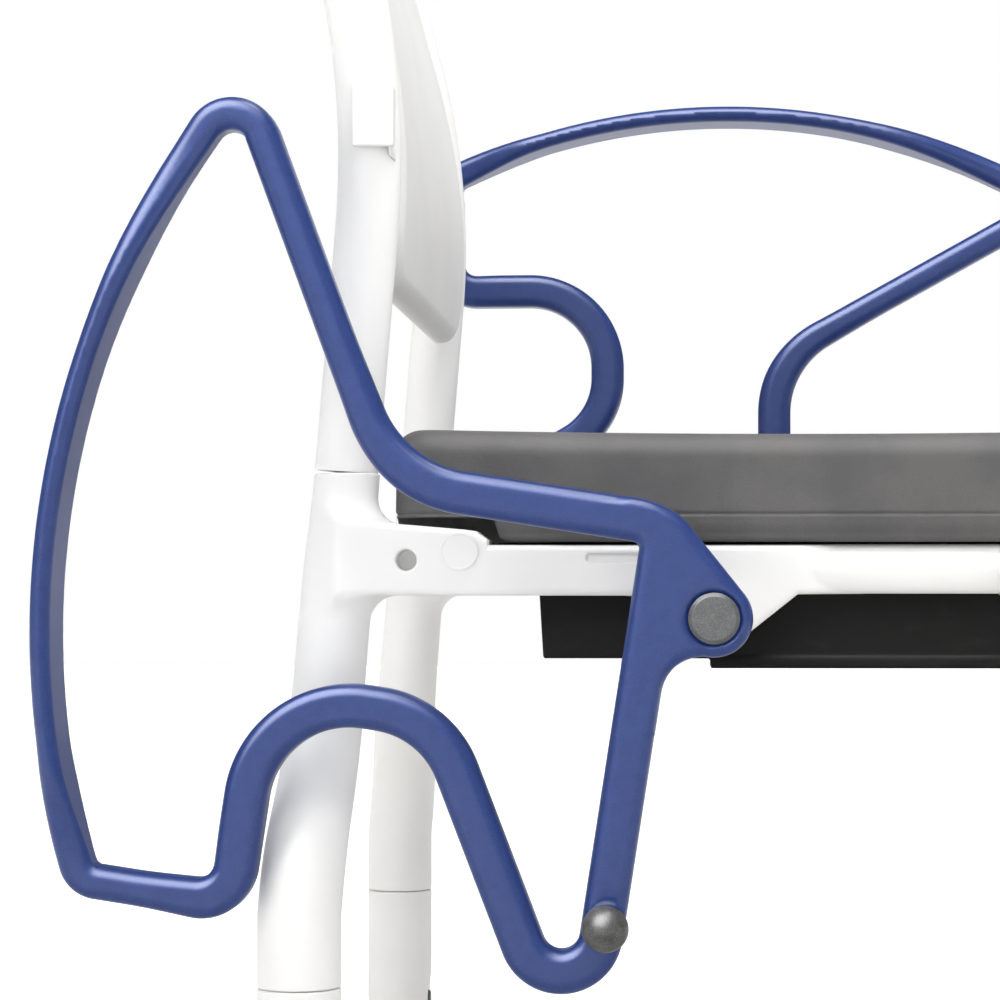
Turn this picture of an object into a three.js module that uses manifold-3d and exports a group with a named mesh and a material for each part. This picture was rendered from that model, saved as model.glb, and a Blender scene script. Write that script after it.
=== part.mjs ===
// Shower chair: foam seat, shell back, telescopic legs and two arms that swing away.
// Millimetres. +X is forward, +Y is the sitter's left and +Z is up from the floor.
// Pieces are drawn for the left side, and the right side is their mirror image in Y.

import * as THREE from 'three';
import { mergeVertices } from 'three/addons/utils/BufferGeometryUtils.js';
import Module from 'manifold-3d';

const wasm = await Module();
wasm.setup();

// Driving dimensions
const GAP = 0.3;                                  // between pieces that touch
const CENTRE_X = 21.8;                             // from the drawing's X to the middle of the footprint
const SEAT = { rear: -157, front: 283, half: 218, top: 470, thick: 57, corner: 42, edge: 9 };
const OPENING = { x: 70, long: 130, wide: 100 };  // hygiene opening: centre and half sizes
const RAIL = { y: 205, z: 399.5, radius: 12.5, rear: -107.7, bulge: 1, low: 1, high: 0.7 };
const SLOT = { rear: -59, front: -24, bottom: 402.6, top: 407, deep: 1 };
const SHOULDER = { full: -96, end: -62 };         // where the rail's side steps in from the stub's
const LEG = { upperY: 205, lowerY: 243, lowerX: -199.5, topX: -180.6, top: 448, lean: 0.0866 };
const COLUMN = { top: 16.5, waist: 18, socket: 13.3, spigot: 13, socketDeep: 42, sides: 18 };
const BEND = { top: 334, bottom: 236 };           // heights where the leg steps outward
const SLEEVE = { top: 193, bottom: 95, radius: 20.75, bore: 14.25 };
const TUBE = { radius: 14, top: 230, bottom: 8.3, pitch: 25 };
const FOOT = { height: 34, top: 17, base: 21 };
const STUB = { rear: -182, front: -108, inner: 193, outer: 228, bottom: 386, top: 424, low: 419 };
const PLUG = { radius: 9.5, thick: 1.3, rear: [-122, 408], front: [163.2, 398.5] };
const MIRROR_X = 20.6;                            // front legs mirror the rear ones in this plane
const BACK = { x: -169.4, z: 608, radius: 450, forward: 4.7, backward: 15, top: 880, tube: 16 };
const PANEL = { bottom: 544, top: 862, half: 188.6, thick: 4.5, lip: 13, ahead: 15.2, corner: 34 };
const HOOK = { rear: -176.5, outer: 226.2, corner: -157.7, front: -153.8, inner: 216, thick: 3.6 };
const HOOK_Z = [611, 642];
const PIVOT = { x: 4.8, z: 375, swing: 81.2, axle: 7, bush: 10, boss: 17, cap: 12.5 };
const ARM = { y: 260, deep: 22, bar: 20.5, rest: 42, thin: 10, chamfer: 4 };
const WEB = { hub: 19, x: 41.5, z: 30.5, from: 0.97, to: 1.78 };
const LOCK = { x: -153.3, z: 28.7, pin: 4, bore: 6.3, ball: 11.25, tip: 230, knob: 294, hole: 5.25 };
const COLLAR = { radius: 5.8, from: -2.5, to: 0.5 };
const COIL = { turns: 3, radius: 5.1, wire: 0.5, from: 1.3, long: 3.6 };
const CROSS = { radius: 9, z: 395.5, rear: -122, short: 19.3 };
const PAN = { y: 190, rear: -85, front: 203, top: 404.5, web: 354, flange: 349, start: 3 };
const BOARD = { rear: -150, front: 262, half: 181, bottom: 405, corner: 30, margin: 3 };
const DISH = { radius: 60, ahead: 78.5, z: 122 };
const BUTTON = { radius: 5.2, from: 17.2, to: 20.4, edge: 0.8, hole: 5.7 };
const HOLES = { radius: 4.2, first: 47, last: 170, from: 11 };

const FINISH = {
  white: { color: 0xf3f3f0, roughness: 0.32, metalness: 0 },
  blue: { color: 0x2c3a78, roughness: 0.42, metalness: 0 },
  foam: { color: 0x4a4a4b, roughness: 0.72, metalness: 0 },
  black: { color: 0x161617, roughness: 0.45, metalness: 0 },
  cap: { color: 0x5b5d60, roughness: 0.5, metalness: 0 },
  steel: { color: 0xb9bcc0, roughness: 0.3, metalness: 1 },
  alu: { color: 0xc4c6c8, roughness: 0.38, metalness: 1 },
  rubber: { color: 0x2b2b2c, roughness: 0.9, metalness: 0 },
};

// Solids

function solidOf(geometry) {
  const bare = geometry.clone();
  bare.deleteAttribute('normal');
  bare.deleteAttribute('uv');
  const merged = mergeVertices(bare, 1e-4);
  const vertProperties = new Float32Array(merged.attributes.position.array);
  const triVerts = new Uint32Array(merged.index.array);
  return new wasm.Manifold(new wasm.Mesh({ numProp: 3, vertProperties, triVerts }));
}

function geometryOf(body) {
  const mesh = body.getMesh();
  const geometry = new THREE.BufferGeometry();
  geometry.setAttribute('position', new THREE.BufferAttribute(mesh.vertProperties, 3));
  geometry.setIndex(new THREE.BufferAttribute(mesh.triVerts, 1));
  return geometry;
}

function cut(geometry, ...tools) {
  const rest = tools.reduce((body, tool) => body.subtract(solidOf(tool)), solidOf(geometry));
  return geometryOf(rest);
}

function join(geometry, ...others) {
  const whole = others.reduce((body, other) => body.add(solidOf(other)), solidOf(geometry));
  return geometryOf(whole);
}

function overlap(a, b) {
  return geometryOf(solidOf(a).intersect(solidOf(b)));
}

// A mirror image in Y, with its triangles turned so that they still face outward.
function mirrored(geometry) {
  const bare = geometry.clone();
  bare.deleteAttribute('normal');
  bare.deleteAttribute('uv');
  const image = mergeVertices(bare, 1e-4);
  image.scale(1, -1, 1);
  const order = image.index.array;
  for (let i = 0; i < order.length; i += 3) {
    [order[i], order[i + 1]] = [order[i + 1], order[i]];
  }
  return image;
}

function block(x0, x1, y0, y1, z0, z1) {
  const box = new THREE.BoxGeometry(x1 - x0, y1 - y0, z1 - z0);
  return box.translate((x0 + x1) / 2, (y0 + y1) / 2, (z0 + z1) / 2);
}

// A turned piece: profile points are [radius, height], and the height runs along +Z.
function turned(profile, sides) {
  const points = profile.map(([r, h]) => new THREE.Vector2(r, h));
  return new THREE.LatheGeometry(points, sides).rotateX(Math.PI / 2);
}

function rod(radius, from, to, sides = 20) {
  return turned([[0, from], [radius, from], [radius, to], [0, to]], sides);
}

// The same turned about +Y: +Z becomes +Y.
function alongY(geometry, x, z) {
  return geometry.rotateX(-Math.PI / 2).translate(x, 0, z);
}

// A shape drawn in X and Z, given depth from y0 to y1, with chamfered edges.
function slab(shape, y0, y1, chamfer = 0, segments = 1) {
  const depth = y1 - y0 - 2 * chamfer;
  const settings = { depth, curveSegments: 7, bevelEnabled: chamfer > 0 };
  const bevel = { bevelSize: chamfer, bevelOffset: -chamfer, bevelThickness: chamfer };
  const solid = new THREE.ExtrudeGeometry(shape, { ...settings, ...bevel, bevelSegments: segments });
  return solid.rotateX(Math.PI / 2).translate(0, y1 - chamfer, 0);
}

// A shape drawn in X and Y, given height from z0 to z1, with rounded edges.
function plate(shape, z0, z1, edge = 0, segments = 2) {
  const depth = z1 - z0 - 2 * edge;
  const settings = { depth, curveSegments: 8, bevelEnabled: edge > 0 };
  const bevel = { bevelSize: edge, bevelOffset: -edge, bevelThickness: edge };
  const solid = new THREE.ExtrudeGeometry(shape, { ...settings, ...bevel, bevelSegments: segments });
  return solid.translate(0, 0, z0 + edge);
}

function sweptTube(radius, points, sides, steps) {
  const round = new THREE.Shape().absarc(0, 0, radius, 0, 2 * Math.PI);
  const extrudePath = new THREE.CatmullRomCurve3(points);
  return new THREE.ExtrudeGeometry(round, { steps, curveSegments: sides, extrudePath });
}

// Outlines

// A closed line through corners [x, z, radius], each corner rounded by an arc of its radius.
// Every point holds its place, the normal that points out of the loop, and its corner.
function roundedLoop(corners, stepAngle) {
  const line = [];
  corners.forEach(([x, z, radius], i) => {
    const corner = new THREE.Vector2(x, z);
    const before = corners[(i + corners.length - 1) % corners.length];
    const after = corners[(i + 1) % corners.length];
    const arrive = corner.clone().sub(new THREE.Vector2(before[0], before[1])).normalize();
    const leave = new THREE.Vector2(after[0], after[1]).sub(corner).normalize();
    const turn = Math.atan2(arrive.cross(leave), arrive.dot(leave));
    const reach = radius * Math.tan(Math.abs(turn) / 2);
    const start = corner.clone().addScaledVector(arrive, -reach);
    const side = Math.sign(turn);
    const hub = start.clone().add(new THREE.Vector2(-arrive.y, arrive.x).multiplyScalar(side * radius));
    const steps = Math.max(2, Math.ceil(Math.abs(turn) / stepAngle));
    for (let k = 0; k <= steps; k += 1) {
      const share = k / steps;
      const place = start.clone().rotateAround(hub, turn * share);
      const away = place.clone().sub(hub).multiplyScalar(-side / radius);
      line.push({ place, away, corner: i, share });
    }
  });
  return line;
}

function offsetPoints(line, distanceAt) {
  return line.map((p) => p.place.clone().addScaledVector(p.away, distanceAt(p)));
}

// The point of a circle at an angle in radians, as the two arguments that a curve takes.
function onCircle(x, z, radius, angle) {
  return [x + radius * Math.cos(angle), z + radius * Math.sin(angle)];
}

function ellipsePath(x, long, wide) {
  return new THREE.Path().absellipse(x, 0, long, wide, 0, 2 * Math.PI);
}

function roundedRect(x0, x1, y0, y1, r) {
  const shape = new THREE.Shape();
  shape.moveTo(x0 + r, y0).lineTo(x1 - r, y0).absarc(x1 - r, y0 + r, r, -Math.PI / 2, 0);
  shape.lineTo(x1, y1 - r).absarc(x1 - r, y1 - r, r, 0, Math.PI / 2);
  shape.lineTo(x0 + r, y1).absarc(x0 + r, y1 - r, r, Math.PI / 2, Math.PI);
  shape.lineTo(x0, y0 + r).absarc(x0 + r, y0 + r, r, Math.PI, 1.5 * Math.PI);
  return shape;
}

// Arms, drawn raised, with X forward and Z up from the pivot axis

const REST = { x: 9.5, z: -104.3, radius: 431 };

// Where two tangents of the arm rest's arc meet, from angles counted forward from upright.
function restCorner(from, to) {
  const middle = THREE.MathUtils.degToRad((from + to) / 2);
  const reach = REST.radius / Math.cos(THREE.MathUtils.degToRad((to - from) / 2));
  return [REST.x + reach * Math.sin(middle), REST.z + reach * Math.cos(middle), REST.radius - 12];
}

const ARM_CORNERS = [
  [-173, 285.5, 12],
  restCorner(-24, 0),
  restCorner(0, 24),
  [227, 269, 16],
  [41.5, 166, 60],
  [41.5, 30.5, 14],
  [-235, 30.5, 19.7],
  [-68.5, 126.1, 48],
  [-68.5, 212, 51],
  [-173, 211.5, 18],
];
const REAR_TOP = 0;
const FRONT_LOOP = 3;

// Half the bar's depth in its own plane: thin along the arm rest, full elsewhere.
function halfBar({ corner, share }) {
  const thin = ARM.thin / 2;
  const full = ARM.bar / 2;
  if (corner === REAR_TOP) return full + (thin - full) * share;
  if (corner === FRONT_LOOP) return thin + (full - thin) * share;
  return corner > REAR_TOP && corner < FRONT_LOOP ? thin : full;
}

function armLoop() {
  const line = roundedLoop(ARM_CORNERS, 0.44);
  const shape = new THREE.Shape(offsetPoints(line, halfBar));
  shape.holes.push(new THREE.Path(offsetPoints(line, (p) => -halfBar(p)).reverse()));
  return slab(shape, -ARM.deep / 2, ARM.deep / 2, ARM.chamfer);
}

// The flat web that fills the corner between two bars and carries the pivot's hub.
function armWeb() {
  const half = ARM.bar / 2;
  const { hub, x, z } = WEB;
  const from = WEB.from * Math.PI;
  const shape = new THREE.Shape();
  shape.moveTo(x - half, 50).quadraticCurveTo(x - half, z + half, 22, z + half);
  shape.lineTo(-42, z + half).lineTo(-42, z - half);
  shape.quadraticCurveTo(-22.5, z - half, ...onCircle(0, 0, hub, from));
  shape.absarc(0, 0, hub, from, WEB.to * Math.PI);
  shape.lineTo(43.5, 19.4).quadraticCurveTo(52.6, 29.5, x + half, 50);
  return slab(shape, -ARM.deep / 2, ARM.deep / 2, ARM.chamfer);
}

function armRest() {
  const from = THREE.MathUtils.degToRad(90 - 23);
  const to = THREE.MathUtils.degToRad(90 + 23.5);
  const strip = new THREE.Shape();
  strip.absarc(REST.x, REST.z, REST.radius + ARM.thin / 2, from, to, false);
  strip.absarc(REST.x, REST.z, REST.radius - ARM.thin / 2, to, from, true);
  const half = ARM.rest / 2;
  const neck = ARM.deep / 2 - 1;
  const outline = new THREE.Shape();
  outline.moveTo(-176, -neck).bezierCurveTo(-150, -neck, -158, -half, -120, -half);
  outline.lineTo(118, -half).bezierCurveTo(168, -half, 160, -neck, 196, -neck);
  outline.lineTo(196, neck).bezierCurveTo(160, neck, 168, half, 118, half);
  outline.lineTo(-120, half).bezierCurveTo(-158, half, -150, neck, -176, neck);
  return overlap(slab(strip, -half, half, 3), plate(outline, 200, 400));
}

function armSolid() {
  const whole = join(armLoop(), armWeb(), armRest());
  const pivotBore = alongY(rod(PIVOT.bush + GAP, -20, 20), 0, 0);
  const lockBore = alongY(rod(LOCK.bore, -20, 20, 12), LOCK.x, LOCK.z);
  return cut(whole, pivotBore, lockBore);
}

function ring(outer, inner, from, to, sides) {
  return turned([[inner, from], [outer, from], [outer, to], [inner, to], [inner, from]], sides);
}

// The pin's Y runs out from the middle of the chair, less the arm's own Y.
function lockPin() {
  const tip = LOCK.tip - ARM.y;
  const end = LOCK.knob - ARM.y - 4;
  const { radius, from, to } = COLLAR;
  const profile = [[0, tip], [LOCK.pin - 1.2, tip], [LOCK.pin, tip + 1.5], [LOCK.pin, from]];
  profile.push([radius, from], [radius, to], [LOCK.pin, to], [LOCK.pin, end], [0, end]);
  return alongY(turned(profile, 12), LOCK.x, LOCK.z);
}

function lockKnob() {
  const hub = LOCK.knob - ARM.y;
  const bore = LOCK.pin + GAP;
  const neck = 5.6;
  const low = -Math.sqrt(LOCK.ball ** 2 - neck ** 2);
  const profile = [[0, hub - 3.7], [bore, hub - 3.7], [bore, hub + low - 1.5], [neck, hub + low - 1.5]];
  const start = Math.atan2(low, neck);
  for (let k = 0; k <= 6; k += 1) {
    const angle = start + ((Math.PI / 2 - start) * k) / 6;
    profile.push([Math.max(0, LOCK.ball * Math.cos(angle)), hub + LOCK.ball * Math.sin(angle)]);
  }
  profile[profile.length - 1][0] = 0;
  return alongY(turned(profile, 16), LOCK.x, LOCK.z);
}

function lockSpring() {
  const { turns, radius, from, long } = COIL;
  const wire = new THREE.Shape().absarc(0, 0, COIL.wire, 0, 2 * Math.PI);
  const steps = turns * 8;
  const points = [];
  for (let k = 0; k <= steps; k += 1) {
    const share = k / steps;
    const [x, z] = onCircle(0, 0, radius, share * turns * 2 * Math.PI);
    points.push(new THREE.Vector3(x, from + share * long, z));
  }
  const extrudePath = new THREE.CatmullRomCurve3(points);
  const coil = new THREE.ExtrudeGeometry(wire, { steps, curveSegments: 2, extrudePath });
  return coil.translate(LOCK.x, 0, LOCK.z);
}

// Frame

function legX(z) {
  return Math.max(LEG.lowerX, LEG.topX - LEG.lean * (LEG.top - z));
}

function legY(z) {
  const share = THREE.MathUtils.smootherstep(BEND.top + BEND.bottom - z, BEND.bottom, BEND.top);
  return LEG.upperY + (LEG.lowerY - LEG.upperY) * share;
}

function legRadius(z) {
  const { top, waist } = COLUMN;
  const upper = top + (waist - top) * THREE.MathUtils.smoothstep(LEG.top - z, 0, 60);
  return upper + (SLEEVE.radius - waist) * THREE.MathUtils.smoothstep(370 - z, 0, 130);
}

// A leg is a stack of circles whose centres follow the leg's line.
function legColumn(top) {
  const heights = [SLEEVE.top + GAP + 3];
  for (let z = BEND.bottom - 4; z < BEND.top + 10; z += 15) heights.push(z);
  for (let z = 360; z < top - 20; z += 30) heights.push(z);
  heights.push(top);
  const foot = SLEEVE.top + GAP;
  const profile = [[0, foot], [SLEEVE.radius - 1.2, foot]];
  heights.forEach((z) => profile.push([legRadius(z), z]));
  profile.push([0, top]);
  const column = turned(profile, COLUMN.sides);
  const place = column.attributes.position;
  for (let i = 0; i < place.count; i += 1) {
    const z = place.getZ(i);
    place.setXY(i, place.getX(i) + legX(z), place.getY(i) + legY(z));
  }
  return column;
}

function stubSolid(top, low) {
  const shape = new THREE.Shape();
  shape.moveTo(STUB.rear, STUB.bottom).lineTo(STUB.front - 7, STUB.bottom);
  shape.lineTo(STUB.front, STUB.bottom + 7).lineTo(STUB.front, low - 9);
  shape.lineTo(STUB.front - 3, low - 3).lineTo(STUB.front - 9, low).lineTo(STUB.rear, top);
  return slab(shape, STUB.inner, STUB.outer, 3);
}

function rearLeg() {
  const body = join(legColumn(LEG.top), stubSolid(STUB.top, STUB.low));
  const socket = rod(COLUMN.socket, LEG.top - COLUMN.socketDeep, LEG.top + 10);
  socket.translate(legX(LEG.top - 20), LEG.upperY, 0);
  const bore = rod(SLEEVE.bore, 150, TUBE.top + 3).translate(LEG.lowerX, LEG.lowerY, 0);
  const drill = rod(LOCK.hole, STUB.outer - 14, STUB.outer + 12, 16);
  const hole = alongY(drill, PIVOT.x + LOCK.x, PIVOT.z + LOCK.z);
  return cut(body, socket, bore, hole);
}

function frontLeg() {
  const top = SEAT.top - SEAT.thick - 1.5;
  const body = join(legColumn(top), stubSolid(top, top));
  const bore = rod(SLEEVE.bore, 150, TUBE.top + 3).translate(LEG.lowerX, LEG.lowerY, 0);
  const rear = cut(body, bore);
  return mirrored(rear.rotateZ(Math.PI)).translate(2 * MIRROR_X, 0, 0);
}

// The line of the back: straight, then an arc, then straight, all in the upright's own plane.
function backLine() {
  const low = THREE.MathUtils.degToRad(-BACK.forward);
  const high = THREE.MathUtils.degToRad(BACK.backward);
  const hub = BACK.x - BACK.radius;
  const onArc = (a) => [hub + BACK.radius * Math.cos(a), BACK.z + BACK.radius * Math.sin(a)];
  const points = [];
  const [lowX, lowZ] = onArc(low);
  const [highX, highZ] = onArc(high);
  const bottom = LEG.top - 4;
  for (let k = 0; k < 3; k += 1) {
    const z = bottom + ((lowZ - bottom) * k) / 3;
    points.push([lowX + Math.tan(low) * (lowZ - z), z]);
  }
  for (let k = 0; k <= 5; k += 1) points.push(onArc(low + ((high - low) * k) / 5));
  for (let k = 1; k <= 2; k += 1) {
    const z = highZ + ((BACK.top - highZ) * k) / 2;
    points.push([highX - Math.tan(high) * (z - highZ), z]);
  }
  return points;
}

function upright() {
  const points = backLine().map(([x, z]) => new THREE.Vector3(x, LEG.upperY, z));
  const tube = sweptTube(BACK.tube, points, 8, 13);
  const below = block(-300, 0, 0, 300, LEG.top - 20, LEG.top + GAP);
  const spigot = rod(COLUMN.spigot, LEG.top - COLUMN.socketDeep + 4, LEG.top + 12);
  spigot.translate(legX(LEG.top - 20), LEG.upperY, 0);
  return join(cut(tube, below), spigot);
}

function backPanel() {
  const front = backLine().filter(([, z]) => z > PANEL.bottom + 12 && z < PANEL.top - 12);
  const ahead = front.map(([x, z]) => new THREE.Vector2(x + PANEL.ahead, z));
  const lean = Math.tan(THREE.MathUtils.degToRad(BACK.backward));
  const last = ahead[ahead.length - 1];
  const crown = new THREE.Vector2(last.x - lean * (PANEL.top - 10 - last.y), PANEL.top - 10);
  const first = ahead[0];
  const shape = new THREE.Shape();
  shape.moveTo(first.x - PANEL.lip, PANEL.bottom);
  shape.quadraticCurveTo(first.x - 1, PANEL.bottom, first.x - 1, PANEL.bottom + 12);
  ahead.slice(1).forEach((p) => shape.lineTo(p.x, p.y));
  shape.lineTo(crown.x, crown.y);
  shape.quadraticCurveTo(crown.x - 3, PANEL.top, crown.x - PANEL.lip, PANEL.top);
  shape.lineTo(crown.x - PANEL.lip, PANEL.top - PANEL.thick);
  shape.lineTo(crown.x - PANEL.thick, crown.y - PANEL.thick);
  ahead.slice(1).reverse().forEach((p) => shape.lineTo(p.x - PANEL.thick, p.y));
  shape.lineTo(first.x - PANEL.thick - 1, PANEL.bottom + 12);
  shape.lineTo(first.x - PANEL.lip, PANEL.bottom + PANEL.thick);
  const strip = slab(shape, -PANEL.half, PANEL.half);
  const face = roundedRect(-PANEL.top, -PANEL.bottom, -PANEL.half, PANEL.half, PANEL.corner);
  const window = plate(face, -260, -120).rotateY(Math.PI / 2);
  return overlap(strip, window);
}

// A clip with an outer wall beside the upright and a front wall that ends at it.
function backHook() {
  const { rear, outer, corner, front, inner, thick } = HOOK;
  const shape = new THREE.Shape();
  shape.moveTo(rear, outer - thick).lineTo(rear, outer).lineTo(corner, outer).lineTo(front, inner);
  shape.lineTo(front - 2.7, inner - 0.6).lineTo(corner - 2.7, outer - thick);
  return plate(shape, ...HOOK_Z);
}

// The rail's side next to the stub stands as far out as the stub's, and then steps in.
function railShoulder(low, high) {
  const side = RAIL.y + RAIL.radius;
  const shape = new THREE.Shape();
  shape.moveTo(RAIL.rear, RAIL.y).lineTo(SHOULDER.end + 6, RAIL.y).lineTo(SHOULDER.end + 6, side);
  shape.lineTo(SHOULDER.end, side + RAIL.bulge).lineTo(SHOULDER.full, STUB.outer);
  shape.lineTo(RAIL.rear, STUB.outer);
  return plate(shape, low + 2, high - 2);
}

function railSolid() {
  const end = 2 * MIRROR_X - STUB.front - GAP;
  const tube = rod(RAIL.radius, RAIL.rear, end, 24).rotateY(Math.PI / 2).translate(0, RAIL.y, RAIL.z);
  const low = RAIL.z - RAIL.radius - RAIL.low;
  const high = RAIL.z + RAIL.radius + RAIL.high;
  const shape = new THREE.Shape();
  shape.moveTo(RAIL.rear, low).lineTo(-40, low);
  const from = 1.22 * Math.PI;
  shape.quadraticCurveTo(-16, low, ...onCircle(PIVOT.x, PIVOT.z, PIVOT.boss, from));
  shape.absarc(PIVOT.x, PIVOT.z, PIVOT.boss, from, 1.7 * Math.PI);
  shape.lineTo(48, low).lineTo(60, low + 3).lineTo(60, high).lineTo(RAIL.rear, high);
  const side = RAIL.y + RAIL.radius;
  const casting = slab(shape, RAIL.y - RAIL.radius, side + RAIL.bulge, 2);
  const boss = alongY(rod(PIVOT.boss, 200, ARM.y - ARM.deep / 2 - GAP, 24), PIVOT.x, PIVOT.z);
  const bore = alongY(rod(PIVOT.axle + GAP, 204, 270), PIVOT.x, PIVOT.z);
  const slot = block(SLOT.rear, SLOT.front, side + RAIL.bulge - SLOT.deep, 240, SLOT.bottom, SLOT.top);
  return cut(join(tube, casting, boss, railShoulder(low, high)), bore, slot);
}

function crossTube(x, half) {
  return rod(CROSS.radius, -half, half, 14).rotateX(-Math.PI / 2).translate(x, 0, CROSS.z);
}

// Lower legs

function sleeveSolid() {
  const { radius, bore, top, bottom } = SLEEVE;
  const profile = [[bore, bottom], [radius - 1.5, bottom], [radius, bottom + 2]];
  profile.push([radius, top - 3], [radius - 1.2, top], [bore, top], [bore, bottom]);
  const dish = new THREE.SphereGeometry(DISH.radius, 20, 14).translate(DISH.ahead, 0, DISH.z);
  const hole = rod(BUTTON.hole, 10, 30, 10).rotateY(Math.PI / 2).translate(0, 0, DISH.z);
  return cut(turned(profile, 18), dish, hole);
}

function heightButton() {
  const { radius, from, to, edge } = BUTTON;
  const profile = [[0, from], [radius, from], [radius, to - edge], [radius - edge, to], [0, to]];
  return turned(profile, 10).rotateY(Math.PI / 2).translate(0, 0, DISH.z);
}

function legTube() {
  const holes = [];
  for (let z = HOLES.first; z < HOLES.last; z += TUBE.pitch) {
    holes.push(rod(HOLES.radius, HOLES.from, 20, 6).rotateY(Math.PI / 2).translate(0, 0, z));
  }
  return cut(rod(TUBE.radius, TUBE.bottom, TUBE.top, 16), ...holes);
}

function footSolid() {
  const { height, top, base } = FOOT;
  const bore = TUBE.radius + GAP;
  const profile = [[0, 0], [base - 1.5, 0], [base, 2], [base - 1, 12], [top + 1, 17], [top, height]];
  profile.push([bore, height], [bore, TUBE.bottom - GAP], [0, TUBE.bottom - GAP]);
  return turned(profile, 16);
}

// Seat

function seatPad() {
  const shape = roundedRect(SEAT.rear, SEAT.front, -SEAT.half, SEAT.half, SEAT.corner);
  shape.holes.push(ellipsePath(OPENING.x, OPENING.long, OPENING.wide));
  const pad = plate(shape, SEAT.top - SEAT.thick, SEAT.top, SEAT.edge, 2);
  const notches = [-1, 1].map((side) => {
    const [y0, y1] = side < 0 ? [-240, -STUB.inner + 3] : [STUB.inner - 3, 240];
    return block(-200, STUB.front + 3, y0, y1, 400, STUB.top + 1);
  });
  return cut(pad, ...notches);
}

function seatBase() {
  const { rear, front, half, bottom, corner, margin } = BOARD;
  const shape = roundedRect(rear, front, -half, half, corner);
  shape.holes.push(ellipsePath(OPENING.x, OPENING.long + margin, OPENING.wide + margin));
  return plate(shape, bottom, SEAT.top - SEAT.thick - GAP);
}

function panRail() {
  const { y, rear, front, top, web, flange, start } = PAN;
  const shape = new THREE.Shape();
  shape.moveTo(rear, top).lineTo(rear + 3, web).lineTo(front, web).lineTo(front, top);
  const wall = slab(shape, y - 1.5, y + 1.5);
  const shelf = block(start, front, y - 16, y + 2.2, flange, web + 0.5);
  const cap = block(rear + 2, front, y - 18, y + 1.5, top - 3, top);
  return join(wall, shelf, cap);
}

// Assembly

const chair = new THREE.Group();
chair.name = 'shower_chair';
chair.position.x = CENTRE_X;

function add(parent, name, geometry, finish) {
  const mesh = new THREE.Mesh(geometry, new THREE.MeshStandardMaterial(FINISH[finish]));
  mesh.name = name;
  parent.add(mesh);
}

function addArm(side, geometries) {
  const hand = side < 0 ? 'right' : 'left';
  const swing = new THREE.Group();
  swing.position.set(PIVOT.x, side * ARM.y, PIVOT.z);
  swing.rotation.y = side < 0 ? THREE.MathUtils.degToRad(-PIVOT.swing) : 0;
  chair.add(swing);
  Object.entries(geometries).forEach(([piece, [geometry, finish]]) => {
    add(swing, `${hand}_${piece}`, side < 0 ? mirrored(geometry) : geometry, finish);
  });
}

function addArms() {
  const half = ARM.deep / 2;
  const moving = {
    arm: [armSolid(), 'blue'],
    pivot_bush: [alongY(ring(PIVOT.bush, PIVOT.axle + GAP, -half, half, 20), 0, 0), 'black'],
    lock_bush: [alongY(ring(LOCK.bore - GAP, LOCK.pin + 0.1, 6, half, 12), LOCK.x, LOCK.z), 'black'],
    lock_spring: [lockSpring(), 'steel'],
    lock_pin: [lockPin(), 'steel'],
    lock_knob: [lockKnob(), 'black'],
  };
  [-1, 1].forEach((side) => addArm(side, moving));
}

function addSide(side) {
  const hand = side < 0 ? 'right' : 'left';
  const handed = (geometry) => (side < 0 ? mirrored(geometry) : geometry);
  const reach = ARM.y + ARM.deep / 2;
  const axle = alongY(rod(PIVOT.axle, 204 + GAP, reach + 0.2, 20), PIVOT.x, PIVOT.z);
  const capProfile = [[0, reach + 0.5], [PIVOT.cap, reach + 0.5], [PIVOT.cap, reach + 1.3]];
  capProfile.push([PIVOT.cap - 2, reach + 3.2], [0, reach + 3.2]);
  const plugEnd = STUB.outer + GAP + PLUG.thick;
  const plug = ([x, z]) => alongY(rod(PLUG.radius, STUB.outer + GAP, plugEnd, 16), x, z);
  add(chair, `${hand}_rear_leg`, handed(rearLeg()), 'white');
  add(chair, `${hand}_front_leg`, handed(frontLeg()), 'white');
  add(chair, `${hand}_back_upright`, handed(upright()), 'white');
  add(chair, `${hand}_back_hook`, handed(backHook()), 'white');
  add(chair, `${hand}_seat_rail`, handed(railSolid()), 'white');
  add(chair, `${hand}_pivot_axle`, handed(axle), 'steel');
  add(chair, `${hand}_pivot_cap`, handed(alongY(turned(capProfile, 20), PIVOT.x, PIVOT.z)), 'cap');
  add(chair, `${hand}_rear_plug`, handed(plug(PLUG.rear)), 'white');
  add(chair, `${hand}_front_plug`, handed(plug(PLUG.front)), 'white');
  add(chair, `${hand}_pan_rail`, handed(panRail()), 'black');
}

function addLowerLegs() {
  const feet = { rear: LEG.lowerX, front: 2 * MIRROR_X - LEG.lowerX };
  Object.entries(feet).forEach(([end, x]) => {
    [-1, 1].forEach((side) => {
      const name = `${side < 0 ? 'right' : 'left'}_${end}`;
      const foot = new THREE.Group();
      foot.position.set(x, side * LEG.lowerY, 0);
      chair.add(foot);
      add(foot, `${name}_sleeve`, sleeveSolid(), 'white');
      add(foot, `${name}_button`, heightButton(), 'cap');
      add(foot, `${name}_leg_tube`, legTube(), 'alu');
      add(foot, `${name}_foot`, footSolid(), 'rubber');
    });
  });
}

function addMiddle() {
  add(chair, 'seat_pad', seatPad(), 'foam');
  add(chair, 'seat_base', seatBase(), 'black');
  add(chair, 'back_panel', backPanel(), 'white');
  add(chair, 'rear_cross_tube', crossTube(CROSS.rear, STUB.inner - GAP), 'white');
  add(chair, 'front_cross_tube', crossTube(2 * MIRROR_X - legX(CROSS.z), LEG.upperY - CROSS.short), 'white');
}

addMiddle();
[-1, 1].forEach(addSide);
addArms();
addLowerLegs();

export default chair;
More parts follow.
